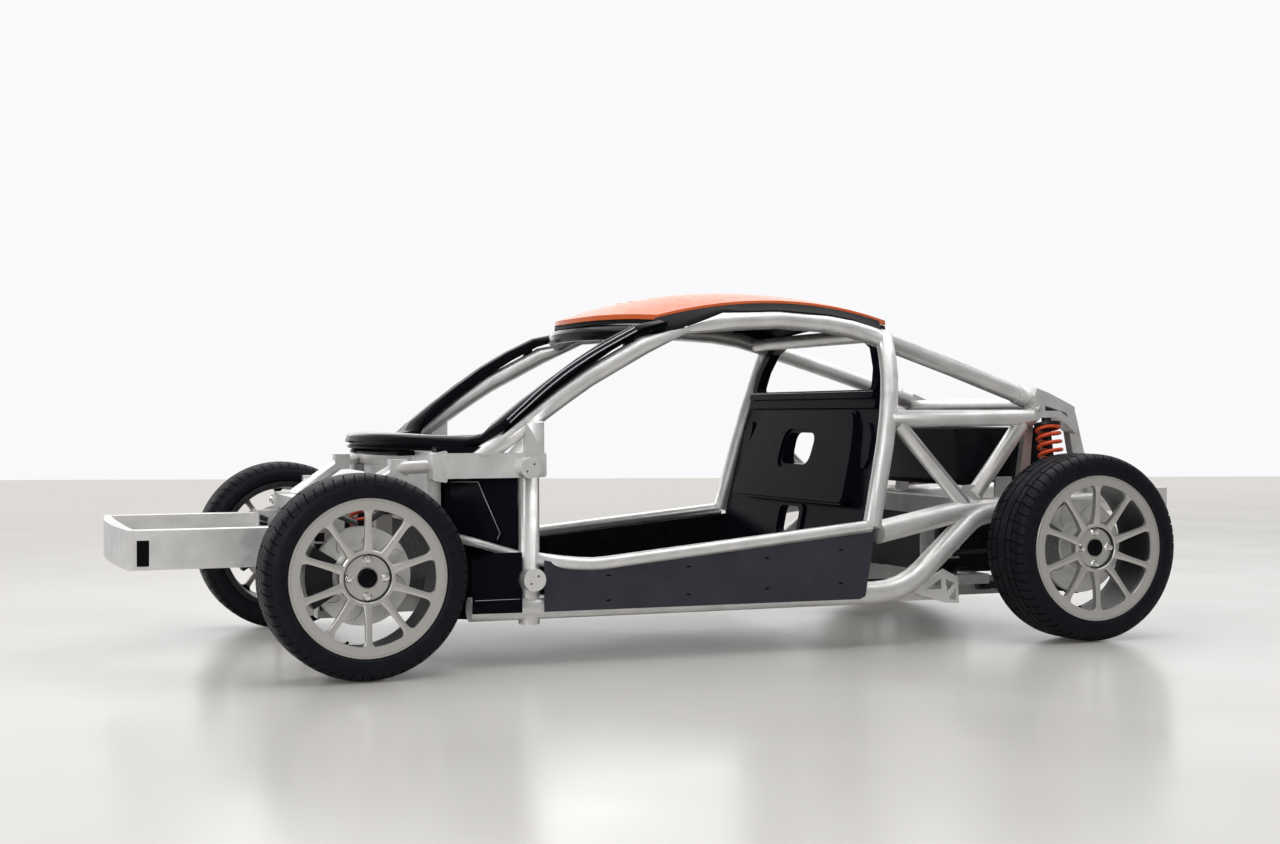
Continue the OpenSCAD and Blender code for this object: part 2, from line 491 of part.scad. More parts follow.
module beam_half() {
    // lower rail from the floor box, and its cross piece
    wbox([1712, 470, 136], [2110, 520, 172]);
    wbox([2060, 300, 130], [2110, 520, 172]);
    wbox([2110, 300, 130], [2640, 360, 190]);
    wbox([2088, 300, 130], [2122, 344, 420]);
    // slotted bracket plate outside it
    difference() {
        prism_xz([[1908, 170], [2030, 244], [2088, 214], [2091, 126], [2039, 128]], 556, 562);
        prism_xz([[1962, 176], [2024, 214], [2024, 176]], 540, 570);
        prism_xz([[2040, 210], [2076, 194], [2046, 160]], 540, 570);
        prism_xz([[2078, 176], [2080, 138], [2050, 140]], 540, 570);
    }
    rod([2050, 510, 150], [2050, 558, 150], 14);
    rod([1950, 510, 160], [1950, 558, 166], 9);
    wbox([2016, 500, 166], [2048, 558, 176]);
    // upper bar to the rear
    wbox([2110, 450, 180], [2256, 490, 214]);
    wbox([2210, 350, 180], [2256, 460, 214]);
    wbox([2088, 450, 160], [2122, 490, 214]);
    // toe link bracket
    for (z = [272, 302]) wbox([2092, 330, z], [2140, 482, z + 6]);
    wbox([2092, 330, 272], [2112, 482, 308]);
    // post and arm up to the longitudinal
    wbox([2560, 300, 150], [2640, 360, 440]);
    wbox([2560, 300, 400], [2640, 440, 440]);
    // upper arm ears
    for (x = [2524, 2596]) wbox([x - 3, 470, 372], [x + 3, 500, 430]);
}
module rear_beam() {
    color([0.62, 0.62, 0.63]) difference() {
        union() {
            both() translate([dx, 0, 0]) beam_half();
            mid() translate([dx, 0, 0]) wbox([2986, -452, 424], [3028, 452, 500]);
        }
        frames();
    }
}

// ---- suspension ----
module front_arms() {
    color([0.12, 0.12, 0.13]) both() {
        for (x = arm_x) {
            rod([x, arm_lo[0], arm_lo[1]], king(196), x > 0 ? 11.4 : 12);
            rod([x, arm_up[0], arm_up[1]], king(446), x > 0 ? 8.6 : 9);
            rod([x - 24.7, arm_lo[0], arm_lo[1]], [x + 24.7, arm_lo[0], arm_lo[1]], 19);
            rod([x - 24.7, arm_up[0], arm_up[1]], [x + 24.7, arm_up[0], arm_up[1]], 15);
        }
        rod(king(179), king(215), 20);
        rod(king(426.3), king(460), 16);
    }
}
module rear_arms() {
    color([0.5, 0.5, 0.51]) both() translate([dx, 0, 0]) {
        for (x = [2300, 2600]) {
            rod([x, 377.3, 165], [2515, 604 + ro, 165], 12);
            rod([x - 24, 377.3, 165], [x + 24, 377.3, 165], 17);
        }
        translate([2515, 604 + ro, 150]) cylinder(r = 26, h = 34.7, $fn = q);
        rod([2560, 484, 388], [2508, 598 + ro, 437], 10);
        rod([2527.3, 484, 388], [2592.7, 484, 388], 13);
        translate([2508, 598 + ro, 425.3]) cylinder(r = 18, h = 24, $fn = q);
        // toe link
        rod([2126, 466, 290], [2416.5, 606 + ro, 312], 8);
        translate([2126, 466, 278.3]) cylinder(r = 12, h = 23.4, $fn = q);
        translate([2416.5, 606 + ro, 300]) cylinder(r = 13, h = 24, $fn = q);
    }
}
// front damper from the lower arm to the bracket on the upper tube; rear damper from the upright to the tower
fd = [[46, 560, 224.2], [46, 442.8, 545]];
rd = [[2490 + dx, 563, 395], [2494 + dx, 486, 745]];
function along(l, s) = l[0] + (l[1] - l[0]) * s;
module damper(l, r, s0, s1, R) {
    rod(l[0], l[1], r / 2);
    rod(along(l, 0.1), along(l, 0.5), r);
    // seats of the spring
    rod(along(l, s0 - 0.022), along(l, s0), R);
    rod(along(l, s1), along(l, s1 + 0.03), R);
    rod(l[0] - [18, 0, 0], l[0] + [18, 0, 0], 16);
}
module front_dampers() {
    color([0.15, 0.15, 0.16]) both() {
        damper(fd, 20, 0.36, 0.86, 37);
        rod(fd[1] - [18, 0, 0], fd[1] + [18, 0, 0], 14.5);
    }
}
module rear_dampers() {
    color([0.15, 0.15, 0.16]) both() {
        damper(rd, 20, 0.33, 0.95, 47);
        translate([2494 + dx, 482, 736]) cylinder(r = 17, h = 21.7, $fn = q);
    }
}
// a coil of round wire between two seats, its end turns laid flat
module coil(l, s0, s1, r, w, turns) {
    a = along(l, s0);
    k = 0.866;
    h = norm(along(l, s1) - a) - 2 * k * w - 0.6;
    n = turns * 14;
    function rise(t) = t < 0.7 ? 0 : t > turns - 0.7 ? 1 : (t - 0.7) / (turns - 1.4);
    p = [for (i = [0:n]) let (t = i / 14) [(r - w) * cos(360 * t), (r - w) * sin(360 * t), k * w + 0.3 + rise(t) * h]];
    aim(a, along(l, s1)) loft([for (i = [0:n]) ring(p[i], heading(p, i), w, [0, 0, 1], 6)]);
}
module front_springs() { color([0.85, 0.3, 0.05]) both() coil(fd, 0.36, 0.86, 36, 6, 5); }
module rear_springs() { color([0.85, 0.3, 0.05]) both() coil(rd, 0.33, 0.95, 46, 7.2, 5.5); }

// a caliper astride a disc, from y0 to y1 with room for the disc between c0 and c1
module caliper(x, z, y0, y1, c0, c1, r0, r1, rdisc) {
    difference() {
        translate([x, y0, z]) rotate([-90, 0, 0]) rotate([0, 0, 148]) rotate_extrude(angle = 64, $fn = 64) translate([r0, 0]) square([r1 - r0, y1 - y0]);
        rod([x, c0, z], [x, c1, z], rdisc + 6);
    }
}
module rear_upright() {
    translate([dx, ro, 0]) {
        difference() {
            union() {
                rod([2490, 600, 318], [2490, 654, 318], 60);
                prism_xz([[2470, 425], [2518, 425], [2545, 318], [2536, 185], [2494, 185], [2435, 300], [2435, 330]], 600, 630);
                block([2478, 579.3, 383], [2502, 606, 407]);
                prism_xz([[2440, 270], [2380, 262], [2380, 374], [2440, 360]], 630, 644);
            }
            rod([2490, 570, 318], [2490, 660, 318], 26.05);
        }
        caliper(2490, 318, 636, 712, 666, 700, 100, 184, rear_disc_r);
    }
}
module rear_upright_left() { color([0.3, 0.3, 0.31]) left() rear_upright(); }
module rear_upright_right() { color([0.3, 0.3, 0.31]) right() rear_upright(); }

rack_x = -96;
module rack_housing() {
    color([0.45, 0.45, 0.46]) mid() {
        pipe([rack_x, -250, 409], [rack_x, 250, 409], 28, 12.05);
        for (s = [-1, 1]) block([-86, s * 200 - 20, 424], [-40, s * 200 + 20, 457.7]);
    }
}
module rack_bar() {
    color([0.1, 0.1, 0.11]) {
        mid() rod([rack_x, -345, 409], [rack_x, 345, 409], 12);
        both() {
            rod([rack_x, 330, 409], [-112, 630 + fo, 416], 9);
            translate([-112, 634 + fo, 402.3]) cylinder(r = 15, h = 26, $fn = q);
        }
    }
}

module knuckle() {
    translate([0, fo, 0]) {
        difference() {
            union() {
                rod([0, 630, 302], [0, 668, 302], 54);
                prism_xz([[-22, 406], [40, 406], [46, 302], [30, 226], [-30, 226], [-46, 302]], 626, 657);
                // steering arm
                prism_xz([[-10, 330], [-108, 377], [-127, 377], [-127, 395], [-104, 395], [-10, 372]], 622, 646);
                // seats of the two ball joints, on the steering axis
                translate([0, -fo, 0]) {
                    rod(king(388), king(426), 19);
                    aim(king(215.3), king(250)) rotate([0, 0, 120]) cylinder(r = 18, h = norm(king(250) - king(215.3)), $fn = q);
                }
                prism_xz([[-20, 262], [-110, 254], [-110, 350], [-20, 342]], 648, 662);
            }
            rod([0, 610, 302], [0, 680, 302], 26.05);
        }
        caliper(0, 302, 650, 724, 673, 707, 92, 172, front_disc_r);
    }
}
module knuckle_left() { color([0.3, 0.3, 0.31]) left() knuckle(); }
module knuckle_right() { color([0.3, 0.3, 0.31]) right() knuckle(); }

// ---- wheels: drawn about Z with the outer face up, then turned to face +Y ----
module at_wheel(x, y, z) { translate([x, y, z]) rotate([-90, 0, 0]) children(); }
module tyre(r, rim, w) {
    h = w / 2;
    rotate_extrude($fn = 96) polygon([[rim - 14, -h + 16.8], [rim + 0.6, -h + 14.8], [rim + 2, -h + 7], [rim + 12, -h + 1.5], [rim + 30, -h], [r - 22, -h + 4], [r - 6, -h + 16], [r, -h + 32],
        [r, h - 32], [r - 6, h - 16], [r - 22, h - 4], [rim + 30, h], [rim + 12, h - 1.5], [rim + 2, h - 7], [rim + 0.6, h - 14.8], [rim - 14, h - 16.8]]);
}
module rim(r, w) {
    h = w / 2 - 8;
    // barrel with flanges
    rotate_extrude($fn = 96) polygon([[r - 26, -h], [r, -h], [r, -h + 6], [r - 14.5, -h + 8], [r - 14.5, h - 8], [r, h - 6], [r, h],
        [r - 28, h], [r - 32, h - 8], [r - 20, h - 14], [r - 20, -h + 6]]);
    // spokes, flared into the lip, and the dished hub with its nut seats
    difference() {
        intersection() {
            rotate_extrude($fn = 96) polygon([[0, h - 38], [60, h - 38], [r - 17, h - 26], [r - 17, h - 1], [r - 30, h - 1], [92, h - 9], [76, h - 15], [67, h - 26], [0, h - 26]]);
            linear_extrude(h + 10) union() {
                circle(r = 79, $fn = 64);
                for (k = [0:spokes - 1]) rotate(90 + k * 360 / spokes) polygon([[20, -19], [84, -13], [r - 56, -10.5], [r - 34, -13], [r - 16, -25], [r - 16, 25], [r - 34, 13], [r - 56, 10.5], [84, 13], [20, 19]]);
            }
        }
        for (k = [0:3]) rotate(k * 90) translate([lug_pcd / 2, 0, h - 34]) cylinder(r = 9, h = 20, $fn = 24);
    }
    // centre cap
    translate([0, 0, h - 30]) cylinder(r = 28.5, h = 12, $fn = 48);
}
module disc(r, w) {
    translate([0, 0, -26]) cylinder(r = r, h = 22, $fn = 96);
    translate([0, 0, -20]) cylinder(r = 76, h = w / 2 - 46 + 20, $fn = 64);
    translate([0, 0, -70]) cylinder(r = 26, h = 60, $fn = 48);
}
module tyre_fl() { color([0.06, 0.065, 0.08]) left() at_wheel(0, fy, front_tyre_r) tyre(front_tyre_r, front_rim_r, front_tyre_w); }
module tyre_fr() { color([0.06, 0.065, 0.08]) right() at_wheel(0, fy, front_tyre_r) tyre(front_tyre_r, front_rim_r, front_tyre_w); }
module tyre_rl() { color([0.06, 0.065, 0.08]) left() at_wheel(wheelbase, ry, rear_tyre_r) tyre(rear_tyre_r, rear_rim_r, rear_tyre_w); }
module tyre_rr() { color([0.06, 0.065, 0.08]) right() at_wheel(wheelbase, ry, rear_tyre_r) tyre(rear_tyre_r, rear_rim_r, rear_tyre_w); }
module rim_fl() { color([0.6, 0.59, 0.57]) left() at_wheel(0, fy, front_tyre_r) rim(front_rim_r, front_tyre_w); }
module rim_fr() { color([0.6, 0.59, 0.57]) right() at_wheel(0, fy, front_tyre_r) rim(front_rim_r, front_tyre_w); }
module rim_rl() { color([0.6, 0.59, 0.57]) left() at_wheel(wheelbase, ry, rear_tyre_r) rim(rear_rim_r, rear_tyre_w); }
module rim_rr() { color([0.6, 0.59, 0.57]) right() at_wheel(wheelbase, ry, rear_tyre_r) rim(rear_rim_r, rear_tyre_w); }
module disc_fl() { color([0.35, 0.35, 0.36]) left() at_wheel(0, fy, front_tyre_r) disc(front_disc_r, front_tyre_w); }
module disc_fr() { color([0.35, 0.35, 0.36]) right() at_wheel(0, fy, front_tyre_r) disc(front_disc_r, front_tyre_w); }
module disc_rl() { color([0.35, 0.35, 0.36]) left() at_wheel(wheelbase, ry, rear_tyre_r) disc(rear_disc_r, rear_tyre_w); }
module disc_rr() { color([0.35, 0.35, 0.36]) right() at_wheel(wheelbase, ry, rear_tyre_r) disc(rear_disc_r, rear_tyre_w); }

frame_side_left();
frame_side_right();
cross_members();
front_subframe();
crash_rails();
bumper_beam();
hinge_bosses_left();
hinge_bosses_right();
floor_tub();
sill_panel_left();
sill_panel_right();
footwell_panels();
seat_bulkhead();
windscreen_surround();
roof_panel();
roof_underskin();
rear_tub();
transaxle();
driveshafts();
shock_towers();
rear_beam();
front_arms();
rear_arms();
front_dampers();
rear_dampers();
front_springs();
rear_springs();
rear_upright_left();
rear_upright_right();
rack_housing();
rack_bar();
knuckle_left();
knuckle_right();
tyre_fl();
tyre_fr();
tyre_rl();
tyre_rr();
rim_fl();
rim_fr();
rim_rl();
rim_rr();
disc_fl();
disc_fr();
disc_rl();
disc_rr();
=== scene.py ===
# Rolling chassis of an open two-seat sports car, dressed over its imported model.
# Metres; X runs to the rear, Y to the right-hand side, Z up from the floor.
import bpy, bmesh, json
from math import pi, radians, sin, cos, atan2
from mathutils import Vector, Matrix
from mathutils.bvhtree import BVHTree

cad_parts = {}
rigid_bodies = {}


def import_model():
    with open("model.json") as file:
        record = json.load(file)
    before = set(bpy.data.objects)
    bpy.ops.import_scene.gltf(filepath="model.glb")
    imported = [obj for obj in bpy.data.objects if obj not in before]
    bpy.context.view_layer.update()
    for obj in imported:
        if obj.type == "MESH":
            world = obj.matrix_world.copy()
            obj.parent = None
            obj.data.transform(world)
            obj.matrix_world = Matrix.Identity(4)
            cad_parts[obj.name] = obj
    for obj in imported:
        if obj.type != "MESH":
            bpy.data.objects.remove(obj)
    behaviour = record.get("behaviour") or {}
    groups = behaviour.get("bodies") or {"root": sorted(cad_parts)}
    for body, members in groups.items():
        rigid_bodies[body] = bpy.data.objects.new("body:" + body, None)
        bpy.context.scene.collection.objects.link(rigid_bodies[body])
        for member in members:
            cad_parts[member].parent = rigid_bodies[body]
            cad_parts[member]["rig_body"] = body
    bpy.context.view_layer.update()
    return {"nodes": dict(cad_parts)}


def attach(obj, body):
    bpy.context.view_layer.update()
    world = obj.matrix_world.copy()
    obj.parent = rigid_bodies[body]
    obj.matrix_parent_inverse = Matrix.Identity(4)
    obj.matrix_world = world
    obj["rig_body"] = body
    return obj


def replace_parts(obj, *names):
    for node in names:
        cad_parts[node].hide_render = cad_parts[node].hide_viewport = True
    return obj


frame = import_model()
node = frame["nodes"]
scene = bpy.context.scene

# ---------------------------------------------------------------- driving sizes
AXLE_FRONT = -1.180
AXLE_REAR = AXLE_FRONT + 2.490
SIDE_NAMES = ((-1, "left"), (1, "right"))
WHEELS = {
    "fl": dict(side=-1, x=AXLE_FRONT, y=0.705, r=0.302, rim=0.2335, w=0.208, disc=0.146),
    "fr": dict(side=1, x=AXLE_FRONT, y=0.705, r=0.302, rim=0.2335, w=0.208, disc=0.146),
    "rl": dict(side=-1, x=AXLE_REAR, y=0.698, r=0.318, rim=0.246, w=0.225, disc=0.158),
    "rr": dict(side=1, x=AXLE_REAR, y=0.698, r=0.318, rim=0.246, w=0.225, disc=0.158),
}
SPOKES = 10
SPOKE_EDGE, SPOKE_DRAFT = 0.0026, 0.0016
SIPES = 60
GROOVE_PLACES, GROOVE_HALF, GROOVE_DEPTH = (0.20, 0.52), 0.0036, 0.0055
CUT_DEPTH, SHOULDER_DROP = 0.0042, 0.0195
NUT_RING, NUT_FACE, NUTS = 0.054, 0.0260, 4
DISC_VANES, DISC_SLOTS = 36, 8


def car(x, y, z):
    """A point given in millimetres from the front axle, the middle of the car and the floor."""
    return Vector((x / 1000 + AXLE_FRONT, y / 1000, z / 1000))


# ---------------------------------------------------------------- materials
class Finish:
    """One material with a principled shader and helpers that hang patterns on it."""

    def __init__(self, name, colour, rough=0.5, metal=0.0, **shader):
        self.material = bpy.data.materials.new(name)
        self.material.use_nodes = True
        self.tree = self.material.node_tree
        self.shader = self.tree.nodes["Principled BSDF"]
        self.put("Base Color", (*colour, 1.0))
        self.put("Roughness", rough)
        self.put("Metallic", metal)
        for key, value in shader.items():
            self.put(key.replace("_", " "), value)
        self.colour = colour
        self.bump = None

    def put(self, socket, value):
        self.shader.inputs[socket].default_value = value

    def new(self, kind, **values):
        made = self.tree.nodes.new(kind)
        for key, value in values.items():
            if key in made.inputs:
                made.inputs[key].default_value = value
            else:
                setattr(made, key, value)
        return made

    def link(self, a, b):
        self.tree.links.new(a, b)

    def place(self, scale=(1, 1, 1), offset=(0, 0, 0)):
        where = self.new("ShaderNodeTexCoord")
        mapping = self.new("ShaderNodeMapping")
        mapping.inputs["Scale"].default_value = scale
        mapping.inputs["Location"].default_value = offset
        self.link(where.outputs["Object"], mapping.inputs["Vector"])
        return mapping.outputs["Vector"]

    def noise(self, size, detail=4.0, scale=(1, 1, 1), rough=0.5):
        made = self.new("ShaderNodeTexNoise")
        made.inputs["Scale"].default_value = 1.0 / size
        made.inputs["Detail"].default_value = detail
        made.inputs["Roughness"].default_value = rough
        self.link(self.place(scale), made.inputs["Vector"])
        return made.outputs["Fac"]

    def turned_rings(self, size, centre):
        """Fine rings about a wheel's axle, as a lathe leaves them."""
        made = self.new("ShaderNodeTexWave", wave_type="RINGS", rings_direction="Y")
        made.inputs["Scale"].default_value = 0.314 / size
        made.inputs["Distortion"].default_value = 0.6
        self.link(self.place((1, 1, 1), (-centre[0], 0, -centre[1])), made.inputs["Vector"])
        return made.outputs["Fac"]

    def ramp(self, value, low, high, a=0.35, b=0.65):
        made = self.new("ShaderNodeMapRange")
        made.inputs["From Min"].default_value = a
        made.inputs["From Max"].default_value = b
        made.inputs["To Min"].default_value = low
        made.inputs["To Max"].default_value = high
        self.link(value, made.inputs["Value"])
        return made.outputs["Result"]

    def vary_colour(self, value, other, a=0.35, b=0.65):
        mix = self.new("ShaderNodeMix", data_type="RGBA")
        base = self.shader.inputs["Base Color"]
        if base.is_linked:
            self.link(base.links[0].from_socket, mix.inputs["A"])
        else:
            mix.inputs["A"].default_value = (*self.colour, 1.0)
        mix.inputs["B"].default_value = (*other, 1.0)
        self.link(self.ramp(value, 0.0, 1.0, a, b), mix.inputs["Factor"])
        self.link(mix.outputs["Result"], base)
        return self

    def vary_rough(self, value, low, high):
        self.link(self.ramp(value, low, high), self.shader.inputs["Roughness"])
        return self

    def add_bump(self, value, height, strength=1.0):
        made = self.new("ShaderNodeBump")
        made.inputs["Distance"].default_value = height
        made.inputs["Strength"].default_value = strength
        self.link(value, made.inputs["Height"])
        if self.bump:
            self.link(self.bump.outputs["Normal"], made.inputs["Normal"])
        self.bump = made
        self.link(made.outputs["Normal"], self.shader.inputs["Normal"])
        return self


def satin_aluminium():
    f = Finish("satin_aluminium", (0.78, 0.77, 0.755), 0.36, 0.62)
    f.vary_colour(f.noise(0.09, 5.0), (0.66, 0.655, 0.64))
    f.vary_rough(f.noise(0.03, 6.0), 0.33, 0.47)
    f.add_bump(f.noise(0.0012, 2.0, (1, 6, 6)), 0.00006, 0.4)
    f.add_bump(f.noise(0.02, 3.0), 0.0002, 0.2)
    return f


def weld_metal():
    f = Finish("weld_metal", (0.58, 0.57, 0.56), 0.36, 0.7)
    f.vary_colour(f.noise(0.004, 2.0), (0.42, 0.41, 0.40))
    return f


def gloss_black():
    f = Finish("gloss_black_moulding", (0.0040, 0.0044, 0.0058), 0.16, 0.0, Specular_IOR_Level=0.045)
    f.vary_rough(f.noise(0.05, 4.0), 0.10, 0.19)
    f.add_bump(f.noise(0.008, 3.0), 0.00003, 0.2)
    return f


def gloss_navy():
    f = Finish("gloss_navy_composite", (0.0045, 0.0050, 0.0090), 0.20, 0.0, Specular_IOR_Level=0.025)
    f.vary_rough(f.noise(0.04, 4.0), 0.15, 0.26)
    f.add_bump(f.noise(0.010, 3.0), 0.00004, 0.25)
    return f


def satin_black():
    f = Finish("satin_black_composite", (0.0050, 0.0052, 0.0080), 0.36, 0.0, Specular_IOR_Level=0.12)
    f.vary_colour(f.noise(0.04, 5.0), (0.010, 0.010, 0.014))
    f.vary_rough(f.noise(0.02, 5.0), 0.28, 0.44)
    f.add_bump(f.noise(0.0035, 3.0), 0.00008, 0.4)
    return f


def graphite_panel():
    f = Finish("graphite_panel", (0.026, 0.027, 0.038), 0.46, 0.0, Specular_IOR_Level=0.3)
    f.vary_colour(f.noise(0.10, 4.0), (0.034, 0.035, 0.047))
    f.vary_rough(f.noise(0.03, 5.0), 0.40, 0.54)
    f.add_bump(f.noise(0.0016, 2.0), 0.0001, 0.4)
    return f


def roof_orange():
    f = Finish("orange_paint", (0.66, 0.125, 0.027), 0.42, 0.0, Specular_IOR_Level=0.35,
               Coat_Weight=0.18, Coat_Roughness=0.25)
    f.vary_colour(f.noise(0.0015, 1.0), (0.60, 0.11, 0.024))
    f.vary_rough(f.noise(0.03, 4.0), 0.30, 0.40)
    f.add_bump(f.noise(0.004, 2.0), 0.00004, 0.3)
    return f


def tyre_rubber():
    f = Finish("tyre_rubber", (0.0040, 0.0048, 0.0080), 0.50, 0.0, Specular_IOR_Level=0.13)
    f.vary_colour(f.noise(0.02, 5.0), (0.0075, 0.0083, 0.0115))
    f.vary_rough(f.noise(0.012, 4.0), 0.42, 0.60)
    f.add_bump(f.noise(0.002, 3.0), 0.00012, 0.5)
    return f


def wheel_silver():
    f = Finish("wheel_silver", (0.60, 0.583, 0.552), 0.30, 0.75)
    f.vary_colour(f.noise(0.0011, 1.0), (0.53, 0.515, 0.488))
    f.vary_rough(f.noise(0.02, 4.0), 0.29, 0.38)
    f.add_bump(f.noise(0.0012, 2.0), 0.00003, 0.4)
    return f


# A dark finish that paints the shade inside the wheel's barrel and round the foot of the hub's ring.
def barrel_shade_finish():
    f = Finish("painted_barrel_shade", (0.030, 0.030, 0.032), 0.45, 0.3, Specular_IOR_Level=0.3)
    f.vary_colour(f.noise(0.02, 4.0), (0.016, 0.016, 0.018))
    return f


# A near-black finish that paints the shade inside grooves, dimples and holes.
def recess_shade_finish():
    f = Finish("painted_recess_shade", (0.0015, 0.0016, 0.002), 0.8, 0.0, Specular_IOR_Level=0.1)
    f.vary_rough(f.noise(0.003, 2.0), 0.7, 0.9)
    return f


def bright_nut():
    f = Finish("bright_nut", (0.78, 0.77, 0.75), 0.20, 0.9)
    f.vary_rough(f.noise(0.004, 3.0), 0.15, 0.28)
    return f


def cast_grey():
    f = Finish("cast_grey", (0.24, 0.24, 0.245), 0.5, 0.5)
    f.vary_colour(f.noise(0.01, 4.0), (0.15, 0.15, 0.155))
    f.add_bump(f.noise(0.0025, 3.0), 0.0003, 0.5)
    return f


def black_steel():
    f = Finish("black_steel", (0.013, 0.013, 0.016), 0.40, 0.1, Specular_IOR_Level=0.3)
    f.vary_rough(f.noise(0.01, 4.0), 0.32, 0.50)
    f.add_bump(f.noise(0.003, 3.0), 0.0002, 0.4)
    return f


def turned_iron(name, centre):
    f = Finish(name, (0.92, 0.91, 0.885), 0.34, 0.25)
    f.vary_colour(f.noise(0.03, 3.0), (0.84, 0.83, 0.805))
    f.vary_rough(f.turned_rings(0.0022, centre), 0.26, 0.42)
    f.add_bump(f.turned_rings(0.0011, centre), 0.00003, 0.3)
    return f


def spring_orange():
    f = Finish("spring_orange", (0.72, 0.085, 0.018), 0.34, 0.0, Specular_IOR_Level=0.4)
    f.vary_colour(f.noise(0.01, 3.0), (0.58, 0.06, 0.014))
    return f


# Bright lines that paint highlights along glossy edges.
def highlight_bead_finish():
    f = Finish("highlight_bead_finish", (0.42, 0.43, 0.45), 0.18, 0.6)
    f.vary_rough(f.noise(0.01, 3.0), 0.10, 0.24)
    return f


def boot_rubber():
    f = Finish("boot_rubber", (0.0060, 0.0062, 0.0075), 0.55, 0.0, Specular_IOR_Level=0.12)
    f.vary_colour(f.noise(0.006, 3.0), (0.010, 0.010, 0.012))
    f.add_bump(f.noise(0.002, 2.0), 0.0001, 0.4)
    return f


ALU, WELD, GLOSS, NAVY, SATIN = satin_aluminium(), weld_metal(), gloss_black(), gloss_navy(), satin_black()
GRAPHITE, ORANGE, RUBBER, SILVER = graphite_panel(), roof_orange(), tyre_rubber(), wheel_silver()
CAST, STEEL, SPRING, NUT, BOOT = cast_grey(), black_steel(), spring_orange(), bright_nut(), boot_rubber()
HIGHLIGHT_BEAD = highlight_bead_finish()
BARREL_SHADE, RECESS_SHADE = barrel_shade_finish(), recess_shade_finish()
IRON_FRONT = turned_iron("turned_iron_front", (AXLE_FRONT, WHEELS["fl"]["r"]))
IRON_REAR = turned_iron("turned_iron_rear", (AXLE_REAR, WHEELS["rl"]["r"]))

# node-name start: finish, smoothing angle, softened edge
DRESS = {
    "frame_side": (ALU, 34, 0), "cross_members": (ALU, 34, 0.0008), "front_subframe": (ALU, 34, 0.0008),
    "crash_rails": (ALU, 30, 0.0012), "bumper_beam": (ALU, 30, 0.0012), "hinge_bosses": (ALU, 34, 0.0015),
    "shock_towers": (ALU, 34, 0.0012), "rear_beam": (ALU, 34, 0.001), "floor_tub": (SATIN, 20, 0.002),
    "sill_panel": (GRAPHITE, 25, 0.001), "footwell_panels": (NAVY, 25, 0.001),
    "seat_bulkhead": (NAVY, 24, 0.0025), "windscreen_surround": (GLOSS, 32, 0.0015),
    "roof_panel": (ORANGE, 30, 0.001), "roof_underskin": (BOOT, 30, 0.001), "rear_tub": (SATIN, 25, 0.003),
    "transaxle": (STEEL, 34, 0.006), "driveshafts": (STEEL, 34, 0.001), "front_arms": (STEEL, 34, 0.001),
    "rear_arms": (STEEL, 34, 0.001), "front_dampers": (STEEL, 34, 0.001), "rear_dampers": (STEEL, 34, 0.001),
    "rear_upright": (CAST, 34, 0.002), "rack_housing": (CAST, 34, 0.001), "rack_bar": (STEEL, 34, 0.001),
    "knuckle": (STEEL, 34, 0.002),
}


# ---------------------------------------------------------------- making pieces
def piece(name, bm, finish, body, smooth=35.0, bevel=0.0):
    """Turns a bmesh into an object that rides on a body."""
    mesh = bpy.data.meshes.new(name)
    bm.to_mesh(mesh)
    bm.free()
    mesh.shade_smooth()
    mesh.set_sharp_from_angle(angle=radians(smooth))
    made = bpy.data.objects.new(name, mesh)
    scene.collection.objects.link(made)
    for f in finish if isinstance(finish, (list, tuple)) else [finish]:
        mesh.materials.append(f.material)
    if bevel:
        soft = made.modifiers.new("soft_edges", "BEVEL")
        soft.width, soft.segments, soft.limit_method, soft.angle_limit = bevel, 2, "ANGLE", radians(40)
    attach(made, body)
    return made


def merged(name):
    """A welded copy of a CAD node's mesh, its flat faces made whole."""
    bm = bmesh.new()
    bm.from_mesh(node[name].data)
    bmesh.ops.remove_doubles(bm, verts=bm.verts, dist=0.00002)
    bmesh.ops.dissolve_degenerate(bm, dist=0.00002, edges=bm.edges)
    return bm


def fill_holes(bm):
    bmesh.ops.holes_fill(bm, edges=[e for e in bm.edges if e.is_boundary], sides=0)


def soften(bm, verts, width, segments):
    """Rounds every edge that meets the given corners."""
    bmesh.ops.bevel(bm, geom=list({e for v in verts for e in v.link_edges}), offset=width, segments=segments,
                    affect="EDGES", profile=0.5, material=-1)


def cut_back(bm, at, away, beyond=0.0):
    """Ends the panels beyond a half width at a plane, so that the hinge pillar shows between them."""
    faces = [f for f in bm.faces if all(abs(v.co.y) > beyond for v in f.verts)]
    geom = list({v for f in faces for v in f.verts}) + list({e for f in faces for e in f.edges}) + faces
    bmesh.ops.bisect_plane(bm, geom=geom, plane_co=at, plane_no=away, clear_outer=True)
    fill_holes(bm)


def dressed(name):
    """A smooth-shaded copy of a CAD node, which it stands for."""
    finish, smooth, bevel = DRESS[next(key for key in DRESS if name.startswith(key))]
    bm = merged(name)
    bmesh.ops.dissolve_limit(bm, angle_limit=radians(0.7), verts=bm.verts, edges=bm.edges)
    if name.startswith("sill_panel"):
        cut_back(bm, car(581, 0, 0), (-1, 0, 0))
    if name == "footwell_panels":
        cut_back(bm, car(509, 0, 0), (1, 0, 0), 0.636)
    made = piece("dressed_" + name, bm, finish, node[name]["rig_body"], smooth, bevel)
    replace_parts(made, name)
    return made


def clean(bm):
    """Welds what meets and turns every face outwards."""
    bmesh.ops.remove_doubles(bm, verts=bm.verts, dist=0.00001)
    bmesh.ops.dissolve_degenerate(bm, dist=0.00001, edges=bm.edges)
    bmesh.ops.recalc_face_normals(bm, faces=bm.faces)
    return bm


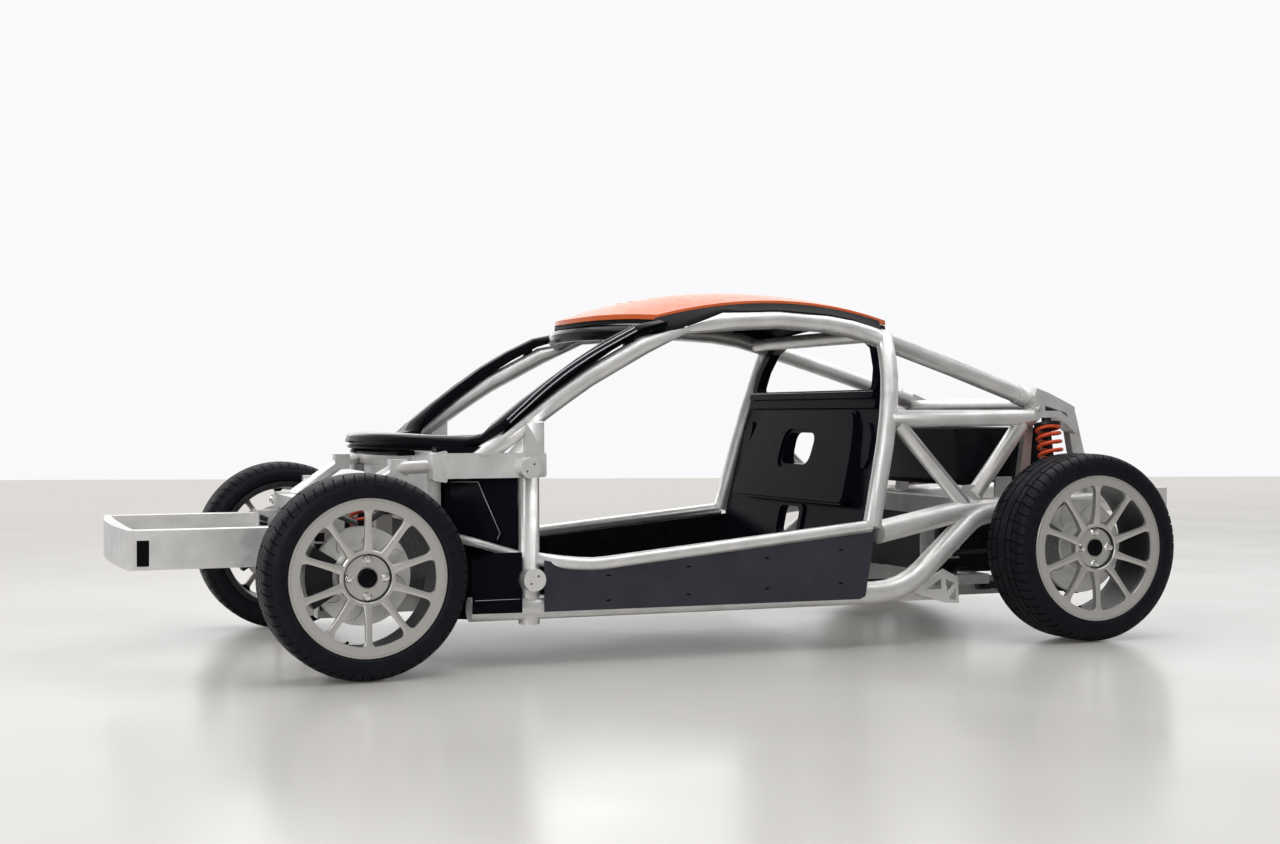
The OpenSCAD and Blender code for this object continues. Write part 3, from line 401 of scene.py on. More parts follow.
def turned(bm, profile, centre, axis, steps=72, closed=True):
    """Spins a profile of (radius, distance along the axis) into a ring; an open profile ends on the axis."""
    axis, centre = Vector(axis).normalized(), Vector(centre)
    up = Vector((0, 0, 1))
    out = axis.orthogonal().normalized() if abs(axis.z) > 0.9 else (up - axis * axis.z).normalized()
    verts = [bm.verts.new(centre + axis * a + out * r) for r, a in profile]
    edges = [bm.edges.new(pair) for pair in zip(verts, verts[1:])]
    if closed:
        edges.append(bm.edges.new((verts[-1], verts[0])))
    bmesh.ops.spin(bm, geom=verts + edges, cent=centre, axis=axis, angle=2 * pi, steps=steps, use_merge=True)


def joined_rings(bm, rings):
    """Bridges a row of closed rings of points and caps both ends."""
    made = []
    for ring in rings:
        verts = [bm.verts.new(p) for p in ring]
        made.append((verts, [bm.edges.new(pair) for pair in zip(verts, verts[1:] + verts[:1])]))
    for (_, a), (_, b) in zip(made, made[1:]):
        bmesh.ops.bridge_loops(bm, edges=a + b)
    bm.faces.new(made[0][0])
    bm.faces.new(made[-1][0])
    return [v for verts, _ in made for v in verts]


def around(bm, verts, centre, axis, count):
    """Repeats a shape evenly round an axis."""
    keep = set(verts)
    faces = [f for f in bm.faces if keep.issuperset(f.verts)]
    edges = [e for e in bm.edges if keep.issuperset(e.verts)]
    bmesh.ops.spin(bm, geom=list(verts) + edges + faces, cent=centre, axis=axis,
                   angle=2 * pi * (count - 1) / count, steps=count - 1, use_duplicate=True)


def frame_of(axis):
    """A turn that lays a shape's Z along an axis."""
    return Vector(axis).to_track_quat("Z", "Y").to_matrix().to_4x4()


# ---------------------------------------------------------------- wheels
def hub_centre(w):
    """The middle of a wheel and the way it faces."""
    return Vector((w["x"], w["side"] * w["y"], w["r"])), Vector((0, w["side"], 0))


def tyre_section(w):
    """Half of the tyre's section, from mid tread to the bead, as (radius, distance outwards)."""
    r, rim, h = w["r"], w["rim"], w["w"] / 2
    tread = [(r, 0.0)]
    for place in GROOVE_PLACES:
        a = place * h
        tread += [(r - 0.0003, a - GROOVE_HALF), (r - GROOVE_DEPTH, a - GROOVE_HALF + 0.0008),
                  (r - GROOVE_DEPTH, a + GROOVE_HALF - 0.0008), (r - 0.0006, a + GROOVE_HALF)]
    shoulder = [(r - down, h - back) for down, back in (
        (0.0016, 0.036), (0.0040, 0.0250), (0.0080, 0.0165), (0.0135, 0.0100), (0.0200, 0.0062),
        (0.0215, 0.0066), (0.0270, 0.0036))]
    wall = [(rim + above, h - back) for above, back in (
        (0.034, 0.0004), (0.024, 0.0002), (0.0175, 0.0010), (0.0165, 0.0026), (0.0085, 0.0032),
        (0.0035, 0.0062), (0.0015, 0.0110), (-0.0030, 0.0150), (-0.0130, 0.0165))]
    return tread + shoulder + wall


def make_tyre(name, w):
    """A grooved tyre with slanting cuts across its tread and shoulders."""
    centre, out = hub_centre(w)
    r, h = w["r"], w["w"] / 2
    half = tyre_section(w)
    profile = [(a, -b) for a, b in reversed(half[1:])] + half
    columns = SIPES * 3
    step = 2 * pi / columns
    bm = bmesh.new()
    turned(bm, profile, centre, out, steps=columns)
    clean(bm)

    def polar(p):
        d = p - centre
        return atan2(d.x, d.z) % (2 * pi), (d.x * d.x + d.z * d.z) ** 0.5, abs(d.dot(out))

    cuts = []
    for f in bm.faces:
        angle, radius, reach = polar(f.calc_center_median())
        column = int(angle / step)
        shoulder = reach > 0.56 * h
        rib = 0.24 * h < reach < 0.48 * h and column % 6 == 0
        if column % 3 == 0 and radius > r - SHOULDER_DROP and (shoulder or rib):
            cuts.append(f)
    # narrow every third column to a cut, and sweep the cuts back towards the shoulders
    for v in bm.verts:
        angle, radius, reach = polar(v.co)
        column = round(angle / step) % 3
        turn = (0.0, -0.62, -0.30)[column] * step + w["side"] * 0.055 * (reach / h) ** 2
        v.co = centre + Matrix.Rotation(turn, 3, "Y") @ (v.co - centre)
    walls = bmesh.ops.inset_region(bm, faces=cuts, thickness=0.0003, depth=-CUT_DEPTH, use_boundary=True,
                                   use_even_offset=True)["faces"]
    # the cuts, their walls and the groove bottoms get a darker rubber, painted as the shade in these recesses
    for f in cuts + walls:
        f.material_index = 1
    for f in bm.faces:
        _, radius, reach = polar(f.calc_center_median())
        if radius < r - 0.0050 and reach < 0.56 * h:
            f.material_index = 1
    made = piece("treaded_" + name, bm, [RUBBER, RECESS_SHADE], "wheel_" + name, smooth=38)
    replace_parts(made, "tyre_" + name)


def rim_size(w):
    """The rim's outer radius and the half width from the wheel's middle to its face."""
    return w["rim"], w["w"] / 2 - 0.008


def rim_section(r, h):
    """The outer lip, the outside of the barrel, the inner lip and the inside of the barrel, as one loop."""
    return [
        (r - 0.0350, h - 0.0040), (r - 0.0338, h - 0.0016), (r - 0.0085, h - 0.0010),
        (r - 0.0078, h - 0.0024), (r - 0.0066, h - 0.0024), (r - 0.0060, h - 0.0004),
        (r - 0.0016, h - 0.0004), (r - 0.0002, h - 0.0018), (r - 0.0002, h - 0.0042),
        (r - 0.0030, h - 0.0066), (r - 0.0100, h - 0.0085), (r - 0.0145, h - 0.0120),
        (r - 0.0150, h - 0.0320), (r - 0.0215, h - 0.0420), (r - 0.0215, -h + 0.0500),
        (r - 0.0150, -h + 0.0300), (r - 0.0145, -h + 0.0100), (r - 0.0040, -h + 0.0066),
        (r - 0.0002, -h + 0.0040), (r - 0.0010, -h + 0.0006), (r - 0.0050, -h), (r - 0.0200, -h + 0.0020),
        (r - 0.0240, -h + 0.0300), (r - 0.0262, -h + 0.0500), (r - 0.0262, h - 0.0480),
        (r - 0.0285, h - 0.0300), (r - 0.0330, h - 0.0120)]


def hub_section(h):
    """The cap's bore, the nut face, the raised ring and its skirt, as one loop."""
    return [(radius, h - back) for radius, back in (
        (0.0200, 0.0260), (0.0300, 0.0255), (0.0310, 0.0240), (0.0330, 0.0240), (0.0340, 0.0260),
        (0.0655, 0.0260), (0.0680, 0.0235), (0.0705, 0.0150), (0.0730, 0.0128), (0.0790, 0.0125),
        (0.0830, 0.0150), (0.0850, 0.0380), (0.0200, 0.0380))]


def spoke_rings(centre, out, r, h):
    """The sections of one spoke, from the hub to where it flares into the rim."""
    # distance from the axle, half width, how far its face lies back, depth
    stations = (
        (0.0745, 0.0158, 0.0131, 0.034), (0.080, 0.0146, 0.0122, 0.034), (0.092, 0.0128, 0.0095, 0.030),
        (0.115, 0.0108, 0.0068, 0.027), (0.145, 0.0098, 0.0045, 0.025), (r - 0.060, 0.0097, 0.0030, 0.024),
        (r - 0.048, 0.0106, 0.0022, 0.023), (r - 0.041, 0.0130, 0.0018, 0.022),
        (r - 0.0365, 0.0170, 0.0016, 0.021), (r - 0.0335, 0.0240, 0.0015, 0.020),
        (r - 0.0290, 0.0300, 0.0015, 0.019))
    edge, draft = SPOKE_EDGE, SPOKE_DRAFT
    rings = []
    for radius, half, drop, depth in stations:
        top, foot = h - drop, h - drop - depth
        section = [
            (-half + edge, top), (half - edge, top), (half - edge * 0.3, top - edge * 0.4),
            (half, top - edge), (half - draft, foot + edge), (half - edge - draft, foot),
            (edge + draft - half, foot),
            (draft - half, foot + edge), (-half, top - edge), (edge * 0.3 - half, top - edge * 0.4)]
        rings.append([centre + Vector((u, 0, radius)) + out * a for u, a in section])
    return rings


def make_rim(name, w):
    """Barrel, hub and spokes; the barrel behind the lip and the foot of the hub's ring are painted dark as
    shade.
    """
    centre, out = hub_centre(w)
    r, h = rim_size(w)
    bm = bmesh.new()
    turned(bm, rim_section(r, h), centre, out, steps=96)
    turned(bm, hub_section(h), centre, out, steps=72)
    around(bm, joined_rings(bm, spoke_rings(centre, out, r, h)), centre, out, SPOKES)
    clean(bm)
    # faces inside the barrel behind the lip, and round the foot of the hub's ring, take the painted shade
    for f in bm.faces:
        offset = f.calc_center_median() - centre
        reach, depth = (offset.x ** 2 + offset.z ** 2) ** 0.5, offset.dot(out)
        if (reach > r - 0.040 and depth < h - 0.013) or (0.0655 < reach < 0.0715 and depth > h - 0.027):
            f.material_index = 1
    made = piece("spoked_" + name, bm, [SILVER, BARREL_SHADE], "wheel_" + name, smooth=32)
    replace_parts(made, "rim_" + name)


def make_nuts(name, w):
    """Four hexagon nuts on their seats."""
    centre, out = hub_centre(w)
    seat = centre + Vector((0, 0, NUT_RING)) + out * (rim_size(w)[1] - NUT_FACE)
    bm = bmesh.new()
    turned(bm, [(0.0, -0.002), (0.0138, -0.002), (0.0138, 0.0006), (0.0128, 0.0016), (0.0112, 0.0030),
                (0.0, 0.0030)], seat, out, steps=24, closed=False)
    nut = bmesh.ops.create_cone(bm, cap_ends=True, segments=6, radius1=0.0100, radius2=0.0096, depth=0.0130,
                                matrix=Matrix.Translation(seat + out * 0.0090) @ frame_of(out))
    soften(bm, nut["verts"], 0.0009, 2)
    around(bm, list(bm.verts), centre, out, NUTS)
    piece("nuts_" + name, clean(bm), NUT, "wheel_" + name, smooth=30)


def make_cap(name, w):
    """The plain centre cap, and the valve in the gap beside the lowest spoke."""
    centre, out = hub_centre(w)
    r, h = rim_size(w)
    bm = bmesh.new()
    turned(bm, [(0.0, h - 0.0150), (0.0150, h - 0.0152), (0.0235, h - 0.0162), (0.0270, h - 0.0180),
                (0.0284, h - 0.0205), (0.0284, h - 0.0300), (0.0, h - 0.0300)],
           centre, out, steps=48, closed=False)
    lean = Matrix.Rotation(pi / SPOKES, 3, "Y")
    turned(bm, [(0.0, 0.0), (0.0052, 0.0), (0.0052, 0.006), (0.0036, 0.008), (0.0034, 0.022),
                (0.0042, 0.023), (0.0042, 0.031), (0.0030, 0.0325), (0.0, 0.0325)],
           centre + lean @ Vector((0, 0, -(r - 0.030))) + out * (h - 0.046),
           out + lean @ Vector((0, 0, 0.35)), steps=12, closed=False)
    piece("cap_" + name, clean(bm), GLOSS, "wheel_" + name, smooth=35)


def make_disc(name, w):
    """A vented disc on its bell, with the vanes in its air gap."""
    centre, out = hub_centre(w)
    r, bell = w["disc"], w["w"] / 2 - 0.046
    iron = IRON_FRONT if name[0] == "f" else IRON_REAR
    bm = bmesh.new()
    turned(bm, [
        (0.0, bell), (0.060, bell), (0.0725, bell - 0.0008), (0.0755, bell - 0.0040), (0.0760, 0.002),
        (0.0790, -0.0034), (0.0850, -0.0052), (0.0890, -0.0040), (r - 0.0012, -0.0040), (r, -0.0052),
        (r, -0.0104), (r - 0.0080, -0.0112), (r - 0.0080, -0.0188), (r, -0.0196), (r, -0.0248),
        (r - 0.0012, -0.0260), (0.0850, -0.0260), (0.0720, -0.0255), (0.0700, -0.0240), (0.0260, -0.0240),
        (0.0260, -0.0700), (0.0, -0.0700)], centre, out, steps=96, closed=False)
    place = Matrix.Translation(centre + Vector((0, 0, r - 0.010)) + out * -0.015)
    vane = bmesh.ops.create_cube(bm, size=1.0, matrix=place @ Matrix.Diagonal((0.0035, 0.0095, 0.019, 1)))
    around(bm, vane["verts"], centre, out, DISC_VANES)
    made = piece("turned_" + name, clean(bm), iron, "wheel_" + name, smooth=30)
    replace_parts(made, "disc_" + name)


def make_slots(name, w):
    """Swept wiping slots in the disc's face, as dark strips painting the shade inside the grooves."""
    centre, out = hub_centre(w)
    inner, outer, last = 0.094, w["disc"] - 0.006, 8
    bm = bmesh.new()
    rings = []
    for k in range(last + 1):
        t = k / last
        radius, angle = inner + (outer - inner) * t, 0.34 * t * t
        at = centre + Vector((sin(angle) * radius, 0, cos(angle) * radius)) + out * -0.0040
        across = Vector((cos(angle), 0, -sin(angle))) * (0.0009 if 0 < k < last else 0.0003)
        above, below = out * 0.00012, out * 0.001
        rings.append([at - across + above, at + across + above, at + across - below, at - across - below])
    around(bm, joined_rings(bm, rings), centre, out, DISC_SLOTS)
    piece("slots_" + name, clean(bm), BOOT, "wheel_" + name, smooth=30)


# ---------------------------------------------------------------- springs, boots and dampers
def wind(bm, foot, head, radius, wire, turns, flat=0.5, sides=10, per_turn=30):
    """A coil of round wire between two seats, its end turns laid flat."""
    axis = (head - foot).normalized()
    side = axis.orthogonal().normalized()
    climb = (head - foot).length - 2 * wire - 0.0008
    start = foot + axis * (wire + 0.0004) + side * (radius - wire)
    ring = bmesh.ops.create_circle(bm, cap_ends=False, segments=sides, radius=wire,
                                   matrix=Matrix.Translation(start) @ frame_of(axis.cross(side)))["verts"]
    geom = ring + list({e for v in ring for e in v.link_edges})
    for share, rise in ((flat, 0.0), (turns - 2 * flat, climb), (flat, 0.0)):
        steps = max(4, round(share * per_turn))
        geom = bmesh.ops.spin(bm, geom=geom, cent=foot, axis=axis, dvec=axis * (rise / steps),
                              angle=2 * pi * share, steps=steps)["geom_last"]
    fill_holes(bm)


def boot(bm, a, b, wide, narrow, ribs, steps=32):
    """A ribbed rubber boot that tapers from one end to the other."""
    length = (b - a).length
    profile = [(0.004, 0.0), (wide, 0.0)]
    for k in range(ribs):
        at = length * (0.08 + 0.84 * k / ribs)
        reach = wide + (narrow - wide) * (k + 0.5) / ribs
        profile += [(reach, at + length * 0.84 / ribs * 0.35),
                    (reach * 0.80, at + length * 0.84 / ribs * 0.9)]
    profile += [(narrow, length * 0.95), (narrow, length), (0.004, length)]
    turned(bm, profile, a, b - a, steps=steps)


# the dampers' lower and upper pins
FRONT_LEG = (car(46, 560, 224.2), car(46, 442.8, 545))
REAR_LEG = (car(2490, 563, 395), car(2494, 486, 745))
# node, damper, where the spring starts and ends along it, radius, wire radius, turns
SPRINGS = (
    ("front_springs", FRONT_LEG, 0.36, 0.86, 0.036, 0.0056, 7.0),
    ("rear_springs", REAR_LEG, 0.33, 0.95, 0.046, 0.0068, 8.0),
)
DAMPER_BODY = 0.0205


def mirrored(p, side):
    return Vector((p.x, p.y * side, p.z))


def make_springs():
    for name, leg, low, high, radius, wire, turns in SPRINGS:
        bm = bmesh.new()
        for side in (-1, 1):
            foot, head = (mirrored(leg[0].lerp(leg[1], s), side) for s in (low, high))
            wind(bm, foot, head, radius, wire, turns)
        clean(bm)
        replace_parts(piece("wound_" + name, bm, SPRING, "chassis", smooth=60), name)


def make_collars():
    """The threads and the two locking rings on each damper's body, below its spring."""
    bm, body = bmesh.new(), DAMPER_BODY
    thread = [(body - 0.002, 0.0), (body + 0.0008, 0.0006), (body + 0.0008, 0.0016), (body - 0.002, 0.0022)]
    ring = [(body - 0.001, 0.0), (body + 0.009, 0.0), (body + 0.010, 0.001), (body + 0.010, 0.007),
            (body + 0.009, 0.008), (body - 0.001, 0.008)]
    for _, leg, low, *_ in SPRINGS:
        for side in (-1, 1):
            foot, head = mirrored(leg[0], side), mirrored(leg[1], side)
            length, along = (head - foot).length, (head - foot).normalized()
            for k in range(16):
                turned(bm, thread, foot + along * (length * (low - 0.16) + 0.0035 * k), along, steps=24)
            for lift in (0.0, 0.011):
                at = foot + along * (length * (low - 0.022) - 0.012 - lift)
                turned(bm, ring, at, along, steps=12)
    piece("damper_collars", clean(bm), CAST, "chassis", smooth=30)


def make_boots():
    """The ribbed boots of the driveshafts' joints and of the rack's ends."""
    bm = bmesh.new()
    for side in (-1, 1):
        for start, end, wide in ((584, 500, 0.036), (350, 425, 0.044)):
            a, b = (mirrored(car(2490, y, 318), side) for y in (start, end))
            boot(bm, a, b, wide, 0.018, 4)
    piece("driveshaft_boots", clean(bm), BOOT, "chassis", smooth=50)
    bellows = [
        (0.0125, 0.0), (0.0230, 0.0), (0.0240, 0.006), (0.0200, 0.009), (0.0245, 0.014), (0.0195, 0.019),
        (0.0240, 0.024), (0.0185, 0.029), (0.0230, 0.034), (0.0175, 0.038), (0.0180, 0.046), (0.0125, 0.046)]
    bm = bmesh.new()
    for side in (-1, 1):
        turned(bm, bellows, mirrored(car(-96, 250.6, 409), side), (0, side, 0), steps=32)
    piece("rack_boots", clean(bm), BOOT, "chassis", smooth=50)


# ---------------------------------------------------------------- welds and bolts found on the CAD faces
def tree_of(*names):
    """One search tree over the faces of several CAD nodes."""
    bm = bmesh.new()
    for name in names:
        bm.from_mesh(node[name].data)
    tree = BVHTree.FromBMesh(bm)
    bm.free()
    return tree


# tube joints of one side: a point on the free tube, a point within the joint, the tube's radius
TUBE_JOINTS = (
    ((545, 596, 300), (545, 596, 190), 33), ((545, 596, 500), (545, 596, 590), 33),
    ((1960, 561.7, 757), (1806, 588, 757), 29), ((2300, 503.6, 757), (2432, 481, 757), 29),
    ((1940, 564, 647), (1846, 580, 740), 25), ((2040, 547, 548.7), (2128, 532, 462), 25),
    ((2240, 515.6, 571.5), (2170, 528, 492), 27.5), ((2310, 503.1, 651), (2384, 490, 735), 27.5),
    ((1745, 621.2, 506.7), (1718, 634, 398), 30), ((1850, 490, 1000), (1855, 470, 1035), 30),
    ((520, 581.2, 732.6), (440, 586, 676), 31), ((2320, 430.9, 870.6), (2428, 423, 834), 31),
    ((1600, 636.7, 391.2), (1712, 636, 402), 20.5), ((1850, 600, 396.8), (1742, 628, 380), 38),
    ((545, 500, 560), (545, 600, 560), 22), ((1856, 480, 757), (1856, 580, 757), 24),
    ((1795, 400, 1040), (1795, 470, 1040), 24), ((100, 415.2, 565.1), (168, 437, 608), 22),
    ((215, 506, 615), (262, 575, 618), 20),
)


def ripple(bm, at, along, out, size=0.0040):
    """One bead of weld, flattened onto its surface."""
    turn = Matrix((along, out.cross(along), out)).transposed().to_4x4()
    flat = Matrix.Diagonal((size * 0.72, size * 1.1, size * 0.55, 1))
    bmesh.ops.create_uvsphere(bm, u_segments=8, v_segments=4, radius=1.0,
                              matrix=Matrix.Translation(at) @ turn @ flat)


def weld_joint(bm, tree, free, joint, radius):
    """Lays ripples where a tube's skin meets what it is welded to, found by walking down it on every side."""
    axis = (joint - free).normalized()
    across = axis.orthogonal().normalized()
    count = round(2 * pi * radius / 0.0042)
    stride = 0.002
    for k in range(count):
        ray = Matrix.Rotation(2 * pi * k / count, 3, axis) @ across
        for j in range(int((joint - free).length / stride)):
            at = free + axis * stride * j
            hit, normal, _, _ = tree.ray_cast(at + ray * (radius + 0.03), -ray, 0.06)
            if hit is None:
                break
            off = (hit - at).length
            if off > radius + 0.0025:
                if off < radius + 0.009:
                    ripple(bm, at + ray * (radius + 0.0004), axis.cross(ray), ray)
                break


def make_welds():
    bm = bmesh.new()
    for side, label in SIDE_NAMES:
        tree = tree_of("frame_side_" + label, "front_subframe", "shock_towers", "cross_members")
        for free, joint, radius in TUBE_JOINTS:
            start, end = mirrored(car(*free), side), mirrored(car(*joint), side)
            weld_joint(bm, tree, start, end, radius / 1000)
    piece("weld_beads", bm, WELD, "chassis", smooth=60)


def seats(tree, spots, look, reach=0.25):
    """Where a look from each spot first meets a face that turns towards it."""
    look = Vector(look).normalized()
    for spot in spots:
        hit, normal, _, _ = tree.ray_cast(spot, look, reach)
        if hit is not None and normal.dot(look) < -0.5:
            yield hit, normal


def hex_heads(bm, places, across, height):
    """Hexagon heads on washers."""
    washer = [(0.0, -0.0003), (across * 0.78, -0.0003), (across * 0.78, 0.0012), (0.0, 0.0012)]
    for hit, normal in places:
        turned(bm, washer, hit, normal, steps=20, closed=False)
        place = Matrix.Translation(hit + normal * (height / 2 + 0.0008)) @ frame_of(normal)
        head = bmesh.ops.create_cone(bm, cap_ends=True, segments=6, radius1=across * 0.577,
                                     radius2=across * 0.54, depth=height, matrix=place)
        soften(bm, head["verts"], 0.0006, 1)


def make_fasteners():
    """Bolts of the front subframe, the rear towers and the crash rails."""
    bolts = bmesh.new()
    for side, label in SIDE_NAMES:
        inward = (0, -side, 0)
        subframe = tree_of("front_subframe")
        for x in (-50, 135):
            for y, z in ((419.3, 192), (415.3, 480)):
                for way in (-1, 1):
                    spot = mirrored(car(x + way * 60, y, z), side)
                    hex_heads(bolts, seats(subframe, [spot], (-way, 0, 0)), 0.017, 0.008)
        spots = [mirrored(car(x, 700, 790), side) for x in (2450, 2510)]
        hex_heads(bolts, seats(tree_of("shock_towers"), spots, inward, 0.4), 0.016, 0.008)
        spots = [mirrored(car(x, 560, z), side) for x in (-170, -200) for z in (345, 408)]
        hex_heads(bolts, seats(tree_of("crash_rails", "bumper_beam"), spots, inward, 0.2), 0.015, 0.007)
    piece("frame_bolts", clean(bolts), NUT, "chassis", smooth=30)


def make_tube_feet():
    """The lower ends of the roof tubes, cut level and welded down on the box beams."""
    tubes, beads = bmesh.new(), bmesh.new()
    top = car(0, 0, 649.3).z
    beads_round = 60
    for side in (-1, 1):
        foot = mirrored(car(440, 586, 676), side)
        along = (foot - mirrored(car(655, 573, 828), side)).normalized()
        bmesh.ops.create_cone(tubes, cap_ends=True, segments=40, radius1=0.031, radius2=0.031, depth=0.09,
                              matrix=Matrix.Translation(foot + along * 0.0445) @ frame_of(along))
        across = along.orthogonal().normalized()
        for k in range(beads_round):
            ray = Matrix.Rotation(2 * pi * k / beads_round, 3, along) @ across
            skin = foot + ray * 0.0315
            at = skin + along * ((top - skin.z) / along.z)
            ripple(beads, at, along.cross(ray), Vector((0, 0, 1)), 0.0046)
    bmesh.ops.bisect_plane(tubes, geom=tubes.verts[:] + tubes.edges[:] + tubes.faces[:], plane_co=(0, 0, top),
                           plane_no=(0, 0, 1), clear_inner=True)
    fill_holes(tubes)
    piece("roof_tube_feet", clean(tubes), ALU, "chassis", smooth=34)
    piece("foot_welds", beads, WELD, "chassis", smooth=60)


def make_roof_seals():
    """The black gutter between the roof skin's edge and the roof tube, fading into it toward the rear."""
    bm = bmesh.new()
    for side, label in SIDE_NAMES:
        tree = tree_of("frame_side_" + label)
        rings = []
        for k in range(29):
            x = 1012 + 30 * k
            share = (x - 1020) / 860
            edge = 475 + 90 * share - 135 * share ** 2
            height = 1146 + 0.0797 * (x - 1309) - 2.99e-4 * (x - 1309) ** 2
            outer = edge + 36 - 16 * min(1, max(0, (x - 1120) / 100))
            hit, _, _, _ = tree.ray_cast(mirrored(car(x, outer, 1300), side), Vector((0, 0, -1)))
            if hit is None:
                continue
            skin, rise = hit.z * 1000, 1 - 0.75 * min(1, max(0, (x - 1110) / 240))
            section = [
                (edge - 3, height - 20), (edge + 2, height - 9), (outer + 2, skin + 24 * rise),
                (outer + 9, skin + 10 * rise), (outer + 9, skin - 3), (outer - 8, skin - 3),
                (edge - 3, height - 34)]
            rings.append([mirrored(car(x, y, z), side) for y, z in section])
        joined_rings(bm, rings)
    piece("roof_gutters", clean(bm), BOOT, "chassis", smooth=40)


# the slanting face of a footwell panel: where it starts, which way it runs and which way it looks
FOOTWELL_START = Vector((304, 505, 0))
FOOTWELL_ALONG, FOOTWELL_OUT = Vector((0.9083, 0.4184, 0)), Vector((-0.4184, 0.9083, 0))
# the raised field on it, as distances along the face and heights
FIELD = ((12, 572), (104, 572), (176, 404), (166, 382), (120, 378), (12, 398))
FIELD_MIDDLE, FIELD_SCALE = (90, 480), 0.94


def on_footwell(corner, grow, lift, side):
    """A corner of the field, grown about its middle and lifted off the panel's face."""
    a, z = (m + (c - m) * grow * FIELD_SCALE for c, m in zip(corner, FIELD_MIDDLE))
    at = FOOTWELL_START + FOOTWELL_ALONG * a + FOOTWELL_OUT * lift
    return mirrored(car(at.x, at.y, z), side)


def slab(bm, outline, depths, side):
    """A flat piece of an upright (x, z) outline between two distances from the car's middle."""
    joined_rings(bm, [[mirrored(car(x, y, z), side) for x, z in outline] for y in depths])


def make_footwell_fields():
    """The raised field and the low step of each footwell panel."""
    bm = bmesh.new()
    step = ((644.05, 212), (647.5, 209), (647.5, 205), (644.05, 199))
    for side in (-1, 1):
        joined_rings(bm, [[on_footwell(corner, grow, lift, side) for corner in FIELD]
                          for grow, lift in ((1.12, 0.15), (1.02, 8.0), (1.0, 8.6))])
        joined_rings(bm, [[mirrored(car(x, y, z), side) for y, z in step] for x in (356, 360, 480, 500)])
    piece("footwell_fields", clean(bm), NAVY, "chassis", smooth=20, bevel=0.0012)


def make_sill_dimples():
    """The dimples of the sill panels, painted dark as the shade in their hollows, and a dark plug in the
    tow-eye window of each crash rail, painted as the shade inside the hole.
    """
    bm = bmesh.new()
    for side in (-1, 1):
        for x in (790, 1060, 1333, 1600):
            for z in (272 + 0.07 * (x - 800), 194 + 0.03 * (x - 800)):
                place = Matrix.Translation(mirrored(car(x, 644.0, z), side))
                bmesh.ops.create_uvsphere(bm, u_segments=16, v_segments=8, radius=1.0,
                                          matrix=place @ Matrix.Diagonal((0.009, 0.0009, 0.0030, 1)))
        # a near-black sheet in the tow-eye window paints the shade inside the hole
        window = ((-617.5, 329.5), (-582.5, 329.5), (-582.5, 405.5), (-617.5, 405.5))
        slab(bm, window, (454.3, 455.6), side)
    piece("sill_dimples", clean(bm), RECESS_SHADE, "chassis", smooth=40)


def make_tub_returns():
    """The side walls that close the tub's rear corners."""
    bm = bmesh.new()
    for side in (-1, 1):
        wall = ((1640.2, 137), (1640.2, 379), (1756, 388), (1712, 206), (1700, 137))
        slab(bm, wall, (556.2, 561.5), side)
    piece("tub_returns", clean(bm), SATIN, "chassis", smooth=30, bevel=0.001)


def bead_run(bm, points, radius, sides=8):
    """A thin round bead through a row of points."""
    rings = []
    for k, at in enumerate(points):
        along = (points[min(k + 1, len(points) - 1)] - points[max(k - 1, 0)]).normalized()
        across = along.orthogonal().normalized()
        turns = (Matrix.Rotation(2 * pi * j / sides, 3, along) for j in range(sides))
        rings.append([at + (turn @ across) * radius for turn in turns])
    joined_rings(bm, rings)


def surround_highlight(bm, tree, lift, side):
    """A bright bead painting a highlight along a side of the windscreen surround, laid on it by looks from
    outside.
    """
    low, high = mirrored(car(500, 582.4, 718.4), side), mirrored(car(936, 540, 1010), side)
    along = (high - low).normalized()
    up = Vector((-along.z, 0, along.x)).normalized()
    points, last = [], None
    for k in range(41):
        share = k / 40
        bow = up * (lift + 0.022 * sin(pi * share))
        start = low.lerp(high, share) + bow + Vector((0, side * 0.15, 0))
        hit, _, _, _ = tree.ray_cast(start, Vector((0, -side, 0)), 0.30)
        if hit is not None and (last is None or abs(hit.y - last.y) < 0.007):
            points.append(hit)
            last = hit
    if len(points) > 5:
        bead_run(bm, points, 0.0022)


def make_highlight_beads():
    """Thin bright beads painting highlights on the windscreen surround, the footwell fields and the seat
    bulkhead.
    """
    bm = bmesh.new()
    tree = tree_of("windscreen_surround")
    for side in (-1, 1):
        for lift in (0.037, 0.048, 0.060):
            surround_highlight(bm, tree, lift, side)
        # painted highlights along the footwell field's edges and its low step
        bead_run(bm, [on_footwell(corner, 1.0, 8.7, side) for corner in FIELD[:4]], 0.0014)
        bead_run(bm, [mirrored(car(x, 647.5, 209), side) for x in (358, 430, 500)], 0.0009)
    # a painted highlight along the seat bulkhead's top ledge
    bead_run(bm, [car(1793.6, y, 850.2) for y in (-500, 0, 500)], 0.0011)
    piece("painted_highlight_beads", bm, HIGHLIGHT_BEAD, "chassis", smooth=60)


def make_cowl_tray():
    """A glossy tray lip under the nose of the windscreen surround."""
    bm = bmesh.new()
    rings, back = [], 249.6
    for k in range(-8, 9):
        y = 330 * k / 8
        nose = 128 + 62 * (k / 8) ** 2
        section = ((nose + 8, 661.5), (back, 661.5), (back, 646), (nose + 10, 644), (nose + 1, 648),
                   (nose - 2, 655))
        rings.append([car(x, y, z) for x, z in section])
    joined_rings(bm, rings)
    piece("cowl_tray", clean(bm), GLOSS, "chassis", smooth=32)


